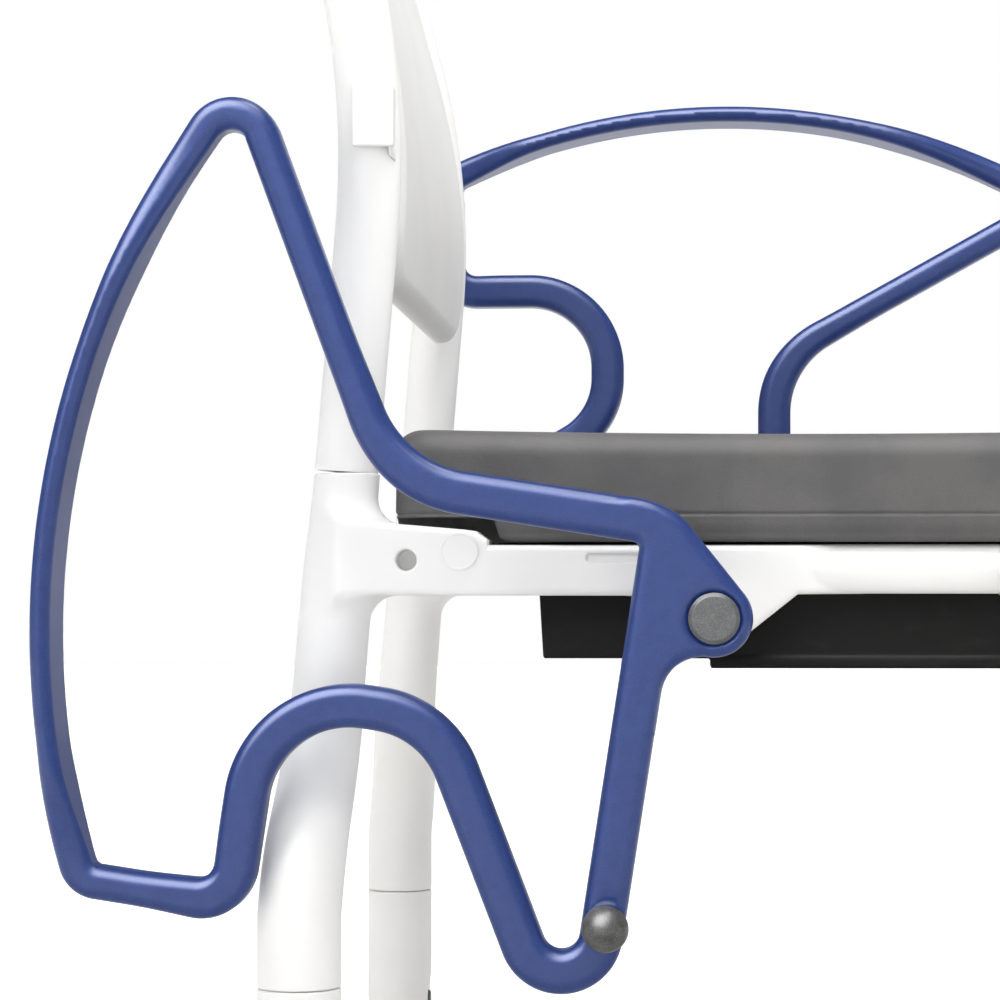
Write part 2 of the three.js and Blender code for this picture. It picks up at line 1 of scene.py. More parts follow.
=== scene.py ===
"""Looks for a shower chair: foam seat, shell back, telescopic legs and two arms that swing away.

Lengths are in millimetres and in the drawing's own axes: +X is the way the sitter faces, +Y is the
sitter's left, +Z is up from the floor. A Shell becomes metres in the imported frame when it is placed.
"""

import logging
import math
from dataclasses import dataclass
from enum import Enum
from typing import Callable, Optional, Sequence

import bpy
import numpy as np
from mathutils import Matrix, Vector


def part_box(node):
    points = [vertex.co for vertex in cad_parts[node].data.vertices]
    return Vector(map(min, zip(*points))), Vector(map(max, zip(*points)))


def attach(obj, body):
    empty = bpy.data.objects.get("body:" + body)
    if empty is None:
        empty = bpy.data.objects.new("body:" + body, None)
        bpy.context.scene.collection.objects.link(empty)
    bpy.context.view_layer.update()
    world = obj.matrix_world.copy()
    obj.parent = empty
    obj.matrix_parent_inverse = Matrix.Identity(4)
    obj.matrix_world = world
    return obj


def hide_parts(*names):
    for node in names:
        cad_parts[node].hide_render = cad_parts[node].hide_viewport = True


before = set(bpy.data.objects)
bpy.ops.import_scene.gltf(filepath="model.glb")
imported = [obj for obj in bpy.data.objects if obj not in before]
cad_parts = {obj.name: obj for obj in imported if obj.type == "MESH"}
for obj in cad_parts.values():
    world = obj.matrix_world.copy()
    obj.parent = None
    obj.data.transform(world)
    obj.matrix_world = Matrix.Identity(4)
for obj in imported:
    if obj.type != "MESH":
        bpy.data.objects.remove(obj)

log = logging.getLogger("shower_chair")
Array = np.ndarray
Field = Callable[[Array, Array, Array], Array]

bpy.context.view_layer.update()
SEAT_REAR = -157.0
CENTRE_X = 1000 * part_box("seat_pad")[0][0] - SEAT_REAR
MIRROR_X = 20.6

# A corner's curve takes up to this share of the flats beside it; the extra points lie this far out
NEARLY_HALF = 0.45
BESIDE = 1.08

# Moves of a point onto its surface, and the step in mm that a field's slope is measured with
NEWTON_STEPS = 4
SLOPE_REACH = 0.02


class Hand(Enum):
    """The sitter's two sides, with the sign of Y on each."""

    RIGHT = -1
    LEFT = 1

    @property
    def word(self) -> str:
        """The side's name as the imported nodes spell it."""
        return self.name.lower()


class End(Enum):
    """The rear and front legs. The front ones mirror the rear ones in X."""

    REAR = "rear"
    FRONT = "front"


# Shells

@dataclass
class Shell:
    """A surface as points and faces, in millimetres and in the drawing's axes.

    Args:
        points: an (n, 3) array.
        faces: lists of point indices, turned so that they face outward.
        normals: one outward direction for each point, where the formula gives it.
    """

    points: Array
    faces: list
    normals: Optional[Array] = None

    def moved(self, x: float = 0, y: float = 0, z: float = 0) -> "Shell":
        """The shell carried along by (x, y, z)."""
        return Shell(self.points + np.array([x, y, z]), self.faces, self.normals)

    def swung(self, degrees: float) -> "Shell":
        """The shell turned about the Y axis: x' = x cos a + z sin a, z' = z cos a - x sin a."""
        c, s = math.cos(math.radians(degrees)), math.sin(math.radians(degrees))
        turn = np.array([[c, 0, -s], [0, 1, 0], [s, 0, c]])
        normals = None if self.normals is None else self.normals @ turn
        return Shell(self.points @ turn, self.faces, normals)

    def laid_along(self, axis: str) -> "Shell":
        """The shell turned so that its own Z becomes X or Y, by passing its three axes round."""
        order = {"x": [2, 0, 1], "y": [1, 2, 0]}[axis]
        normals = None if self.normals is None else self.normals[:, order]
        return Shell(self.points[:, order], self.faces, normals)

    def mirrored(self, axis: int, about: float = 0) -> "Shell":
        """The mirror image in one axis, p' = 2 about - p, with its faces turned to face outward again."""
        points, normals = self.points.copy(), None
        points[:, axis] = 2 * about - points[:, axis]
        if self.normals is not None:
            normals = self.normals.copy()
            normals[:, axis] *= -1
        return Shell(points, [face[::-1] for face in self.faces], normals)

    def on(self, hand: Hand) -> "Shell":
        """A shell drawn for the left side, as it stands on the given side."""
        return self if hand is Hand.LEFT else self.mirrored(1)

    def at(self, end: End) -> "Shell":
        """A shell drawn for the rear, as it stands at the given end."""
        return self if end is End.REAR else self.mirrored(0, MIRROR_X)


def grid_faces(rows: int, columns: int, wrap_rows: bool, wrap_columns: bool = True) -> list:
    """Quads of a grid whose points run along its columns first.

    Args:
        rows: number of rows.
        columns: number of points in a row.
        wrap_rows: joins the last row to the first one.
        wrap_columns: joins each row's last point to its first.

    Returns:
        Lists of four indices: this point, the next in the row, and the same two in the next row.
    """
    r = np.arange(rows if wrap_rows else rows - 1)[:, None]
    c = np.arange(columns if wrap_columns else columns - 1)[None, :]
    here, there = r * columns, ((r + 1) % rows) * columns
    ahead = (c + 1) % columns
    return np.stack([here + c, here + ahead, there + ahead, there + c], -1).reshape(-1, 4).tolist()


def end_caps(rows: int, sides: int) -> list:
    """Triangles from the two points after a grid, its low end's and its high end's, to its end rings."""
    around = np.arange(sides)
    ahead = (around + 1) % sides
    start, poles = (rows - 1) * sides, np.full(sides, rows * sides)
    low, high = [poles, ahead, around], [poles + 1, start + around, start + ahead]
    return np.concatenate([np.stack(low, -1), np.stack(high, -1)]).tolist()


def revolve(profile: Sequence, sides: int = 48) -> Shell:
    """A turned piece about Z.

    Point (r, h) of the profile becomes the ring (r cos t, r sin t, h). The profile runs from the
    bottom's middle round the outside to the top's middle, and its two ends close on one point each
    where their radius is nought, or on each other where it isn't.
    """
    line = np.array(profile, float)
    closed = line[0, 0] > 0
    rings = line if closed else line[1:-1]
    t = np.linspace(0, 2 * math.pi, sides, endpoint=False)
    r, h = rings[:, :1], rings[:, 1:]
    ring = np.stack([r * np.cos(t), r * np.sin(t), h + 0 * t], -1).reshape(-1, 3)
    faces = grid_faces(len(rings), sides, wrap_rows=closed)
    if closed:
        return Shell(ring, faces)
    points = np.vstack([ring, [[0, 0, line[0, 1]], [0, 0, line[-1, 1]]]])
    return Shell(points, faces + end_caps(len(rings), sides))


def rounded(profile: Sequence, radius: float, steps: int = 5) -> Array:
    """A profile whose corners are rounded by quadratic curves that start radius before each corner.

    Point s of a corner is (1-s)^2 a + 2 s (1-s) corner + s^2 b, where a and b lie radius away from it.
    One more point just outside each end of the curve keeps the flats beside it flat in the shading.
    """
    line = np.array(profile, float)
    out = [line[0]]
    for before, corner, after in zip(line[:-2], line[1:-1], line[2:]):
        back, on = before - corner, after - corner
        reach = min(radius, NEARLY_HALF * np.linalg.norm(back), NEARLY_HALF * np.linalg.norm(on))
        back, on = back / np.linalg.norm(back) * reach, on / np.linalg.norm(on) * reach
        s = np.linspace(0, 1, steps)[:, None]
        out.append(corner + BESIDE * back)
        out.extend((1 - s) ** 2 * (corner + back) + 2 * s * (1 - s) * corner + s ** 2 * (corner + on))
        out.append(corner + BESIDE * on)
    return np.array(out + [line[-1]])


def sweep(path: Array, radii: Array, sides: int = 48) -> Shell:
    """A round tube along a path in an X-Z plane or winding about Y, closed by a point at each end.

    Each ring is path + radius (n cos t + b sin t), where b and n are square to the path's direction.
    """
    ahead = np.gradient(path, axis=0)
    ahead /= np.linalg.norm(ahead, axis=1)[:, None]
    b = np.cross(ahead, np.cross([0.0, 1.0, 0.0], ahead))
    b /= np.linalg.norm(b, axis=1)[:, None]
    n = np.cross(b, ahead)
    t = np.linspace(0, 2 * math.pi, sides, endpoint=False)[None, :, None]
    ring = path[:, None] + radii[:, None, None] * (n[:, None] * np.cos(t) + b[:, None] * np.sin(t))
    points = np.vstack([ring.reshape(-1, 3), path[:1], path[-1:]])
    faces = grid_faces(len(path), sides, wrap_rows=False)
    return Shell(points, faces + end_caps(len(path), sides))


# Fields: the signed distance to a surface, below nought inside

def ramp(value: Array, low: float, high: float) -> Array:
    """A smooth step from 0 at low to 1 at high, s^2 (3 - 2 s)."""
    s = np.clip((value - low) / (high - low), 0, 1)
    return s * s * (3 - 2 * s)


def join(a: Array, b: Array, fillet: float) -> Array:
    """Both bodies, with a round fillet: max(r, min(a, b)) - length(max(r - a, 0), max(r - b, 0))."""
    round_off = np.hypot(np.maximum(fillet - a, 0), np.maximum(fillet - b, 0))
    return np.maximum(fillet, np.minimum(a, b)) - round_off


def common(a: Array, b: Array, edge: float) -> Array:
    """Where both are, with a round edge: min(-r, max(a, b)) + length(max(r + a, 0), max(r + b, 0))."""
    round_off = np.hypot(np.maximum(edge + a, 0), np.maximum(edge + b, 0))
    return np.minimum(-edge, np.maximum(a, b)) + round_off


def less(a: Array, b: Array, edge: float) -> Array:
    """The first body with the second cut out of it, with a round edge."""
    return common(a, -b, edge)


def span(value: Array, low: float, high: float) -> Array:
    """Distance to the slice between two flat walls, |value - middle| - half."""
    return np.abs(value - (low + high) / 2) - (high - low) / 2


def box(x: Array, y: Array, z: Array, sizes: Sequence, edge: float) -> Array:
    """A block from x0, x1, y0, y1, z0, z1 with round edges."""
    x0, x1, y0, y1, z0, z1 = sizes
    return common(common(span(x, x0, x1), span(z, z0, z1), edge), span(y, y0, y1), edge)


def polygon(x: Array, z: Array, corners: Array) -> Array:
    """Distance to a closed outline in X and Z: the nearest edge's, signed by an even-odd count."""
    nearest = np.full(np.broadcast(x, z).shape, 1e12)
    inside = np.zeros(nearest.shape, bool)
    for (ax, az), (bx, bz) in zip(corners, np.roll(corners, -1, axis=0)):
        ex, ez = bx - ax, bz - az
        share = np.clip(((x - ax) * ex + (z - az) * ez) / (ex * ex + ez * ez), 0, 1)
        nearest = np.minimum(nearest, (x - ax - share * ex) ** 2 + (z - az - share * ez) ** 2)
        if bz != az:
            crosses = ((z >= az) & (z < bz)) | ((z >= bz) & (z < az))
            inside ^= crosses & (x < ax + (z - az) * ex / ez)
    return np.where(inside, -1, 1) * np.sqrt(nearest)


def curve(start: Sequence, control: Sequence, end: Sequence, steps: int = 10) -> Array:
    """Points of a quadratic curve after its start: (1-s)^2 start + 2 s (1-s) control + s^2 end."""
    s = np.linspace(0, 1, steps)[1:, None]
    return (1 - s) ** 2 * np.array(start) + 2 * s * (1 - s) * np.array(control) + s ** 2 * np.array(end)


def arc(x: float, z: float, radius: float, start: float, end: float, steps: int = 24) -> Array:
    """Points of a circle from one angle to another, in turns of pi."""
    t = np.linspace(start, end, steps)[:, None] * math.pi
    return np.array([x, z]) + radius * np.hstack([np.cos(t), np.sin(t)])


def skin(body: Field, sizes: Sequence, cell: float) -> Shell:
    """The surface where a field is nought.

    The box is cut into cubes. A cube that the surface crosses gets one point, first at the mean of
    the crossings on its edges, and then moved onto the surface by p - f g / (g . g), four times,
    where g is the field's slope. A cube edge that is crossed joins the points of its four cubes.

    Args:
        body: the field, which takes X, Y and Z as arrays that broadcast together.
        sizes: x0, x1, y0, y1, z0, z1 of the box that holds the surface.
        cell: the cubes' side.

    Returns:
        A closed shell, with the field's slope as its normals.
    """
    axes = [np.arange(sizes[2 * i] - 1.37 * cell, sizes[2 * i + 1] + 2.4 * cell, cell) for i in range(3)]
    x, y, z = axes[0][:, None, None], axes[1][None, :, None], axes[2][None, None, :]
    value = np.broadcast_to(body(x, y, z), tuple(len(a) for a in axes))
    inside = value < 0
    corner = [(i, j, k) for i in (0, 1) for j in (0, 1) for k in (0, 1)]
    shape = tuple(n - 1 for n in value.shape)
    part = [tuple(slice(o, o + n) for o, n in zip(c, shape)) for c in corner]
    count = sum(inside[p].astype(np.int8) for p in part)
    active = (count > 0) & (count < 8)
    index = np.full(shape, -1)
    index[active] = np.arange(active.sum())
    at = np.argwhere(active)
    values = np.stack([value[p][active] for p in part], -1)
    offsets = np.array(corner, float)
    total, hits = np.zeros((len(at), 3)), np.zeros((len(at), 1))
    for a in range(8):
        for b in range(a + 1, 8):
            if abs(offsets[a] - offsets[b]).sum() == 1:
                crossed = (values[:, a] < 0) != (values[:, b] < 0)
                share = values[crossed, a] / (values[crossed, a] - values[crossed, b])
                total[crossed] += offsets[a] + share[:, None] * (offsets[b] - offsets[a])
                hits[crossed] += 1
    points = np.array([a[0] for a in axes]) + cell * (at + total / hits)
    quads = []
    for axis in range(3):
        step = np.diff(inside.astype(np.int8), axis=axis)
        where = np.argwhere(step)
        one, two = np.eye(3, dtype=int)[(axis + 1) % 3], np.eye(3, dtype=int)[(axis + 2) % 3]
        ring = [tuple((where - d).T) for d in (one + two, two, 0 * one, one)]
        faces = np.stack([index[r] for r in ring], -1)
        turned = step[tuple(where.T)] > 0
        faces[turned] = faces[turned][:, ::-1]
        quads.append(faces)

    def slope(p: Array) -> Array:
        """The field's slope at points, by differences over twice the reach."""
        sides = [body(*(p + m).T) - body(*(p - m).T) for m in SLOPE_REACH * np.eye(3)]
        return np.stack(sides, -1) / (2 * SLOPE_REACH)

    for _ in range(NEWTON_STEPS):
        g = slope(points)
        step = -body(*points.T)[:, None] * g / np.maximum((g * g).sum(1), 0.05)[:, None]
        points = points + np.clip(step, -0.6 * cell, 0.6 * cell)
    g = slope(points)
    normals = g / np.maximum(np.linalg.norm(g, axis=1), 1e-6)[:, None]
    return Shell(points, np.vstack(quads).tolist(), normals)


# Finishes

# Numbers of the Mix node's sockets for colours
MIX_SHARE, MIX_A, MIX_B, MIX_RESULT = 0, 6, 7, 2


class Socket:
    """One output in a material's nodes, so that shader maths reads as ordinary maths."""

    def __init__(self, graph: "Nodes", output: bpy.types.NodeSocket) -> None:
        """Keeps the graph and the output."""
        self.graph = graph
        self.output = output

    def _math(self, operation: str, a: object, b: object) -> "Socket":
        """Adds a Math node on two values."""
        return self.graph.node("ShaderNodeMath", {"operation": operation}, {0: a, 1: b})

    def __add__(self, other: object) -> "Socket":
        """self + other"""
        return self._math("ADD", self, other)

    def __sub__(self, other: object) -> "Socket":
        """self - other"""
        return self._math("SUBTRACT", self, other)

    def __rsub__(self, other: object) -> "Socket":
        """other - self"""
        return self._math("SUBTRACT", other, self)

    def __mul__(self, other: object) -> "Socket":
        """self * other"""
        return self._math("MULTIPLY", self, other)

    def __pow__(self, other: object) -> "Socket":
        """self ** other"""
        return self._math("POWER", self, other)

    __radd__ = __add__
    __rmul__ = __mul__


class Nodes:
    """A node tree that shader maths is written in."""

    def __init__(self, tree: bpy.types.NodeTree) -> None:
        """Keeps the tree."""
        self.tree = tree

    def node(self, kind: str, settings: dict, inputs: dict, out: object = 0) -> Socket:
        """Adds a node.

        Args:
            kind: the node's type.
            settings: its own properties, which are set first.
            inputs: socket names or numbers, with a number, a colour or a Socket for each.
            out: the name or number of the output to return.
        """
        made = self.tree.nodes.new(kind)
        for key, value in settings.items():
            setattr(made, key, value)
        for key, value in inputs.items():
            if isinstance(value, Socket):
                self.tree.links.new(value.output, made.inputs[key])
            else:
                made.inputs[key].default_value = value
        return Socket(self, made.outputs[out])

    def band(self, value: Socket, low: float, high: float, to_low: float = 0,
             to_high: float = 1) -> Socket:
        """The value's part between low and high, mapped smoothly to to_low and to_high."""
        ends = {"Value": value, "From Min": low, "From Max": high, "To Min": to_low, "To Max": to_high}
        return self.node("ShaderNodeMapRange", {"interpolation_type": "SMOOTHSTEP"}, ends)


class Graph(Nodes):
    """A material's nodes."""

    def __init__(self, name: str) -> None:
        """Makes the material with one Principled shader."""
        self.material = bpy.data.materials.new(name)
        self.material.use_nodes = True
        super().__init__(self.material.node_tree)
        self.shader = next(n for n in self.tree.nodes if n.type == "BSDF_PRINCIPLED")
        self.place = self.node("ShaderNodeTexCoord", {}, {}, "Object")

    def noise(self, size_mm: float, detail: float = 2, stretch: Sequence = (1, 1, 1)) -> Socket:
        """Soft noise from 0 to 1 with blobs about size_mm across, longer where stretch is under 1."""
        spread = self.node("ShaderNodeVectorMath", {"operation": "MULTIPLY"}, {0: self.place, 1: stretch})
        inputs = {"Vector": spread, "Scale": 1000 / size_mm, "Detail": detail}
        return self.node("ShaderNodeTexNoise", {}, inputs)

    def cells(self, size_mm: float, feature: str = "F1") -> Socket:
        """Distance in a pattern of cells that are about size_mm across."""
        inputs = {"Vector": self.place, "Scale": 1000 / size_mm}
        return self.node("ShaderNodeTexVoronoi", {"feature": feature}, inputs, "Distance")

    def mix(self, share: Socket, first: object, second: object) -> Socket:
        """A colour between two, by share. Each is a colour or a Socket, and goes into A or B."""
        colours = [c if isinstance(c, Socket) else (*c, 1) for c in (first, second)]
        ends = {MIX_SHARE: share, MIX_A: colours[0], MIX_B: colours[1]}
        return self.node("ShaderNodeMix", {"data_type": "RGBA"}, ends, MIX_RESULT)

    def feed(self, **sockets: object) -> None:
        """Sets or links the shader's sockets; an underscore in a name stands for a space."""
        for key, value in sockets.items():
            target = self.shader.inputs[key.replace("_", " ")]
            if isinstance(value, Socket):
                self.tree.links.new(value.output, target)
            else:
                target.default_value = value

    def emboss(self, height: Socket, depth_mm: float) -> None:
        """Bumps the surface by height, which runs from 0 to 1 over depth_mm."""
        inputs = {"Strength": 1.0, "Distance": depth_mm / 1000, "Height": height}
        self.feed(Normal=self.node("ShaderNodeBump", {}, inputs, "Normal"))


@dataclass(frozen=True)
class Finish:
    """A finish with the shader's constant values; a subclass paints what varies."""

    name: str
    slot: str
    roughness: float = 0.4
    metallic: float = 0.0
    specular: float = 0.5

    def paint(self, graph: Graph) -> None:
        """Adds what varies over the surface."""

    def material(self) -> bpy.types.Material:
        """The finish's material, made once."""
        if self.name in bpy.data.materials:
            return bpy.data.materials[self.name]
        graph = Graph(self.name)
        graph.feed(Roughness=self.roughness, Metallic=self.metallic, Specular_IOR_Level=self.specular)
        self.paint(graph)
        return graph.material


@dataclass(frozen=True)
class StovedCoat(Finish):
    """Satin coating baked onto metal: faint orange peel, and patches a little less glossy."""

    colour: tuple = (0.87, 0.868, 0.858)
    shade: tuple = (0.83, 0.826, 0.812)
    peel_mm: float = 2.6
    peel_depth_mm: float = 0.012

    def paint(self, graph: Graph) -> None:
        """Broad warm patches in colour, fine ones in gloss, and the peel as bump."""
        patches = graph.band(graph.noise(90, 3), 0.35, 0.7)
        wear = graph.band(graph.noise(14, 4), 0.4, 0.75)
        graph.feed(Base_Color=graph.mix(patches, self.colour, self.shade))
        graph.feed(Roughness=self.roughness + wear * 0.07)
        graph.emboss(graph.noise(self.peel_mm, 2) + graph.noise(0.7, 1) * 0.15, self.peel_depth_mm)


@dataclass(frozen=True)
class FleckedNylon(Finish):
    """Satin plastic with fine lighter flecks and a pebbled skin."""

    colour: tuple = (0.018, 0.042, 0.175)
    deep: tuple = (0.014, 0.034, 0.155)
    fleck: tuple = (0.045, 0.085, 0.24)
    fleck_mm: float = 0.5
    pebble_mm: float = 0.55
    pebble_depth_mm: float = 0.006
    amount: float = 0.5

    def paint(self, graph: Graph) -> None:
        """Clouds of deeper colour, flecks where a fine noise is high, and pebbles as bump."""
        clouds = graph.band(graph.noise(6, 4), 0.3, 0.7)
        specks = graph.band(graph.noise(self.fleck_mm, 2), 0.48, 0.72) * self.amount
        ground = graph.mix(clouds, self.colour, self.deep)
        graph.feed(Base_Color=graph.mix(specks, ground, self.fleck))
        graph.feed(Roughness=self.roughness + graph.noise(0.9, 2) * 0.08)
        graph.emboss(graph.noise(self.pebble_mm, 2) + graph.noise(3.0, 2) * 0.5, self.pebble_depth_mm)


@dataclass(frozen=True)
class FoamSkin(Finish):
    """The closed skin of moulded foam: leathery grain, pores and a cloudy bloom."""

    colour: tuple = (0.082, 0.08, 0.081)
    bloom: tuple = (0.104, 0.101, 0.1)
    grain_mm: float = 1.1
    grain_depth_mm: float = 0.045

    def paint(self, graph: Graph) -> None:
        """Bloom in broad clouds, pores as darker dots, and grain as bump."""
        clouds = graph.band(graph.noise(38, 5), 0.32, 0.72)
        open_skin = graph.band(graph.cells(1.6), 0.05, 0.2) * 0.9 + 0.1
        pore = tuple(0.72 * c for c in self.colour)
        graph.feed(Base_Color=graph.mix(open_skin, pore, graph.mix(clouds, self.colour, self.bloom)))
        graph.feed(Roughness=self.roughness + graph.noise(9, 4) * 0.1)
        grain = graph.band(graph.cells(self.grain_mm, "SMOOTH_F1"), 0.05, 0.65)
        graph.emboss(grain + graph.noise(0.45, 2) * 0.35 + graph.noise(16, 3) * 1.6, self.grain_depth_mm)


@dataclass(frozen=True)
class MouldedPlastic(Finish):
    """Plain moulded plastic with a spark-eroded texture and scuffs."""

    colour: tuple = (0.006, 0.006, 0.0058)
    scuff: tuple = (0.02, 0.02, 0.021)
    texture_mm: float = 0.6
    depth_mm: float = 0.015

    def paint(self, graph: Graph) -> None:
        """Scuffs where a stretched noise is high, and the texture as bump."""
        scuffs = graph.band(graph.noise(7, 5, (0.35, 1, 1)), 0.55, 0.8)
        grit = graph.band(graph.noise(self.texture_mm, 1), 0.5, 0.72)
        graph.feed(Base_Color=graph.mix(scuffs * 0.55 + grit * 0.35, self.colour, self.scuff))
        graph.feed(Roughness=self.roughness + scuffs * 0.12)
        graph.emboss(graph.noise(self.texture_mm, 2), self.depth_mm)


@dataclass(frozen=True)
class DrawnMetal(Finish):
    """Bare or anodised metal with fine lines from drawing or turning, along one axis."""

    colour: tuple = (0.6, 0.61, 0.62)
    dull: tuple = (0.45, 0.455, 0.46)
    grain: tuple = (1, 1, 0.03)

    def paint(self, graph: Graph) -> None:
        """Lines from noise stretched along the grain, in colour, gloss and bump."""
        lines = graph.noise(0.35, 3, self.grain)
        haze = graph.band(graph.noise(12, 4), 0.35, 0.7)
        graph.feed(Base_Color=graph.mix(haze, self.colour, self.dull))
        graph.feed(Roughness=self.roughness + lines * 0.18)
        graph.emboss(lines, 0.006)


WHITE = StovedCoat("white_coat", "white", roughness=0.45, specular=0.2)
SHELL = StovedCoat("moulded_shell", "white", roughness=0.55, specular=0.2, colour=(0.77, 0.767, 0.755),
                   shade=(0.74, 0.736, 0.724), peel_mm=1.1, peel_depth_mm=0.018)
BLUE = FleckedNylon("flecked_blue", "blue", roughness=0.28, specular=0.4)
FOAM = FoamSkin("foam_skin", "foam", roughness=0.55, specular=0.24)
BLACK = MouldedPlastic("satin_black", "black", roughness=0.45, specular=0.11,
                       colour=(0.004, 0.004, 0.0038), scuff=(0.012, 0.012, 0.012))
BALL = FleckedNylon("knob_black", "black", roughness=0.34, specular=0.5, colour=(0.07, 0.07, 0.071),
                    deep=(0.028, 0.028, 0.028), fleck=(0.2, 0.2, 0.2), pebble_depth_mm=0.012)
CAP = FleckedNylon("cap_grey", "cap", roughness=0.36, specular=0.5, colour=(0.088, 0.089, 0.092),
                   deep=(0.068, 0.069, 0.071), fleck=(0.3, 0.305, 0.31), amount=0.3,
                   pebble_depth_mm=0.012)
STEEL = DrawnMetal("turned_steel", "steel", roughness=0.22, metallic=1.0, grain=(1, 0.05, 1))
ALU = DrawnMetal("anodised_tube", "alu", roughness=0.3, metallic=1.0, colour=(0.7, 0.71, 0.72))
RUBBER = MouldedPlastic("foot_rubber", "rubber", roughness=0.78, specular=0.3,
                        colour=(0.018, 0.018, 0.018), scuff=(0.06, 0.058, 0.055), texture_mm=1.4,
                        depth_mm=0.05)


def place(shell: Shell, name: str, body: str, finish: Finish, *nodes: str) -> bpy.types.Object:
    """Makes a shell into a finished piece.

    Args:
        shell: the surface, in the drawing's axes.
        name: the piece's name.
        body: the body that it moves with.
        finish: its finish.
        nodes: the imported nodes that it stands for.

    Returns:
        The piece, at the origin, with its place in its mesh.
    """
    mesh = bpy.data.meshes.new(name)
    mesh.from_pydata(((shell.points + np.array([CENTRE_X, 0, 0])) / 1000).tolist(), [], shell.faces)
    mesh.polygons.foreach_set("use_smooth", np.ones(len(mesh.polygons), bool))
    if shell.normals is not None:
        mesh.normals_split_custom_set_from_vertices(shell.normals.tolist())
    mesh.materials.append(finish.material())
    mesh.update()
    piece = bpy.data.objects.new(name, mesh)
    bpy.context.scene.collection.objects.link(piece)
    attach(piece, body)
    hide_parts(*nodes)
    log.info("%s: %d faces on %s", name, len(shell.faces), body)
    return piece


# Frame

@dataclass
class Leg:
    """A cast upper leg: a column that steps outward and widens, with a stub that takes the rail."""

    top: float = 448.0
    front_top: float = 411.5
    foot: float = 193.3
    top_x: float = -180.6
    foot_x: float = -199.5
    lean: float = 0.0866
    upper_y: float = 205.0
    lower_y: float = 243.0
    bend: tuple = (236.0, 334.0)
    upper_radius: float = 16.5
    waist_radius: float = 18.0
    foot_radius: float = 20.75
    bore: float = 14.25
    tube_top: float = 233.0
    stub: tuple = (-184.0, -107.9, 193.0, 228.0, 386.0)
    stub_top: tuple = (424.5, 419.0)
    fillet: float = 13.0
    hole: tuple = (-148.5, 403.7, 5.25)
    plug_x: float = -122.0
    cell: float = 1.3

    def line(self, z: Array) -> tuple:
        """The column's middle at a height.

        X leans until the column is upright. Y steps outward by s^3 (6 s^2 - 15 s + 10).
        """
        x = np.maximum(self.foot_x, self.top_x - self.lean * (self.top - z))
        s = np.clip((self.bend[1] - z) / (self.bend[1] - self.bend[0]), 0, 1)
        return x, self.upper_y + (self.lower_y - self.upper_y) * s ** 3 * (6 * s * s - 15 * s + 10)

    def column(self, x: Array, y: Array, z: Array, top: float) -> Array:
        """A round column about the line, which widens downward in two smooth steps."""
        cx, cy = self.line(z)
        radius = self.upper_radius + (self.waist_radius - self.upper_radius) * ramp(self.top - z, 0, 60)
        radius = radius + (self.foot_radius - self.waist_radius) * ramp(370 - z, 0, 130)
        return common(np.hypot(x - cx, y - cy) - radius, span(z, self.foot, top), 1.1)

    def arm_of_stub(self, x: Array, y: Array, z: Array, tops: tuple) -> Array:
        """The stub: an outline in X and Z with a falling top, given depth in Y and round edges."""
        rear, front, inner, outer, bottom = self.stub
        beyond = front + 8
        fall = [(beyond, tops[1] - 6.5), (front - 1, tops[1] - 4.5), (front - 6, tops[1] - 0.8)]
        rise = [(front - 12, tops[1]), (rear, tops[0])]
        corners = np.array([(rear, bottom), (beyond, bottom), *fall, *rise])
        return np.maximum(common(polygon(x, z, corners), span(y, inner, outer), 3.4), x - front)

    def rear(self, x: Array, y: Array, z: Array) -> Array:
        """The rear leg: column and stub with a fillet, less the tube's bore and the lock's hole."""
        hx, hz, radius = self.hole
        body = join(self.column(x, y, z, self.top), self.arm_of_stub(x, y, z, self.stub_top), self.fillet)
        body = common(body, z - self.top, 1.1)
        body = less(body, common(np.hypot(x - hx, z - hz) - radius, 214 - y, 0.3), 1.0)
        return less(body, self.tube_space(x, y, z), 0.4)

    def front(self, x: Array, y: Array, z: Array) -> Array:
        """The front leg, drawn at the rear: it ends under the pad."""
        tops = (self.front_top, self.front_top)
        body = join(self.column(x, y, z, self.front_top), self.arm_of_stub(x, y, z, tops), self.fillet)
        body = common(body, z - self.front_top, 1.1)
        return less(body, self.tube_space(x, y, z), 0.4)

    def tube_space(self, x: Array, y: Array, z: Array) -> Array:
        """The bore that takes the lower leg's tube."""
        return common(np.hypot(x - self.foot_x, y - self.lower_y) - self.bore, z - self.tube_top, 0.5)

    def build(self) -> None:
        """Places the four legs and the round plugs in their stubs."""
        sizes = (-222, -106, 186, 266, self.foot, self.top)
        disc = rounded([[0, 0], [9.5, 0], [9.5, 1.3], [8.4, 1.3], [8.4, 0.9], [0, 0.9]], 0.35)
        for end, body, plug_z in ((End.REAR, self.rear, 408.0), (End.FRONT, self.front, 398.5)):
            shell = skin(body, sizes, self.cell)
            plug = revolve(disc, 64).laid_along("y").moved(self.plug_x, self.stub[3] + 0.3, plug_z)
            for hand in Hand:
                name = f"{hand.word}_{end.value}"
                place(shell.at(end).on(hand), f"{name}_leg_casting", "frame", WHITE, f"{name}_leg")
                place(plug.at(end).on(hand), f"{name}_stub_plug", "frame", WHITE, f"{name}_plug")


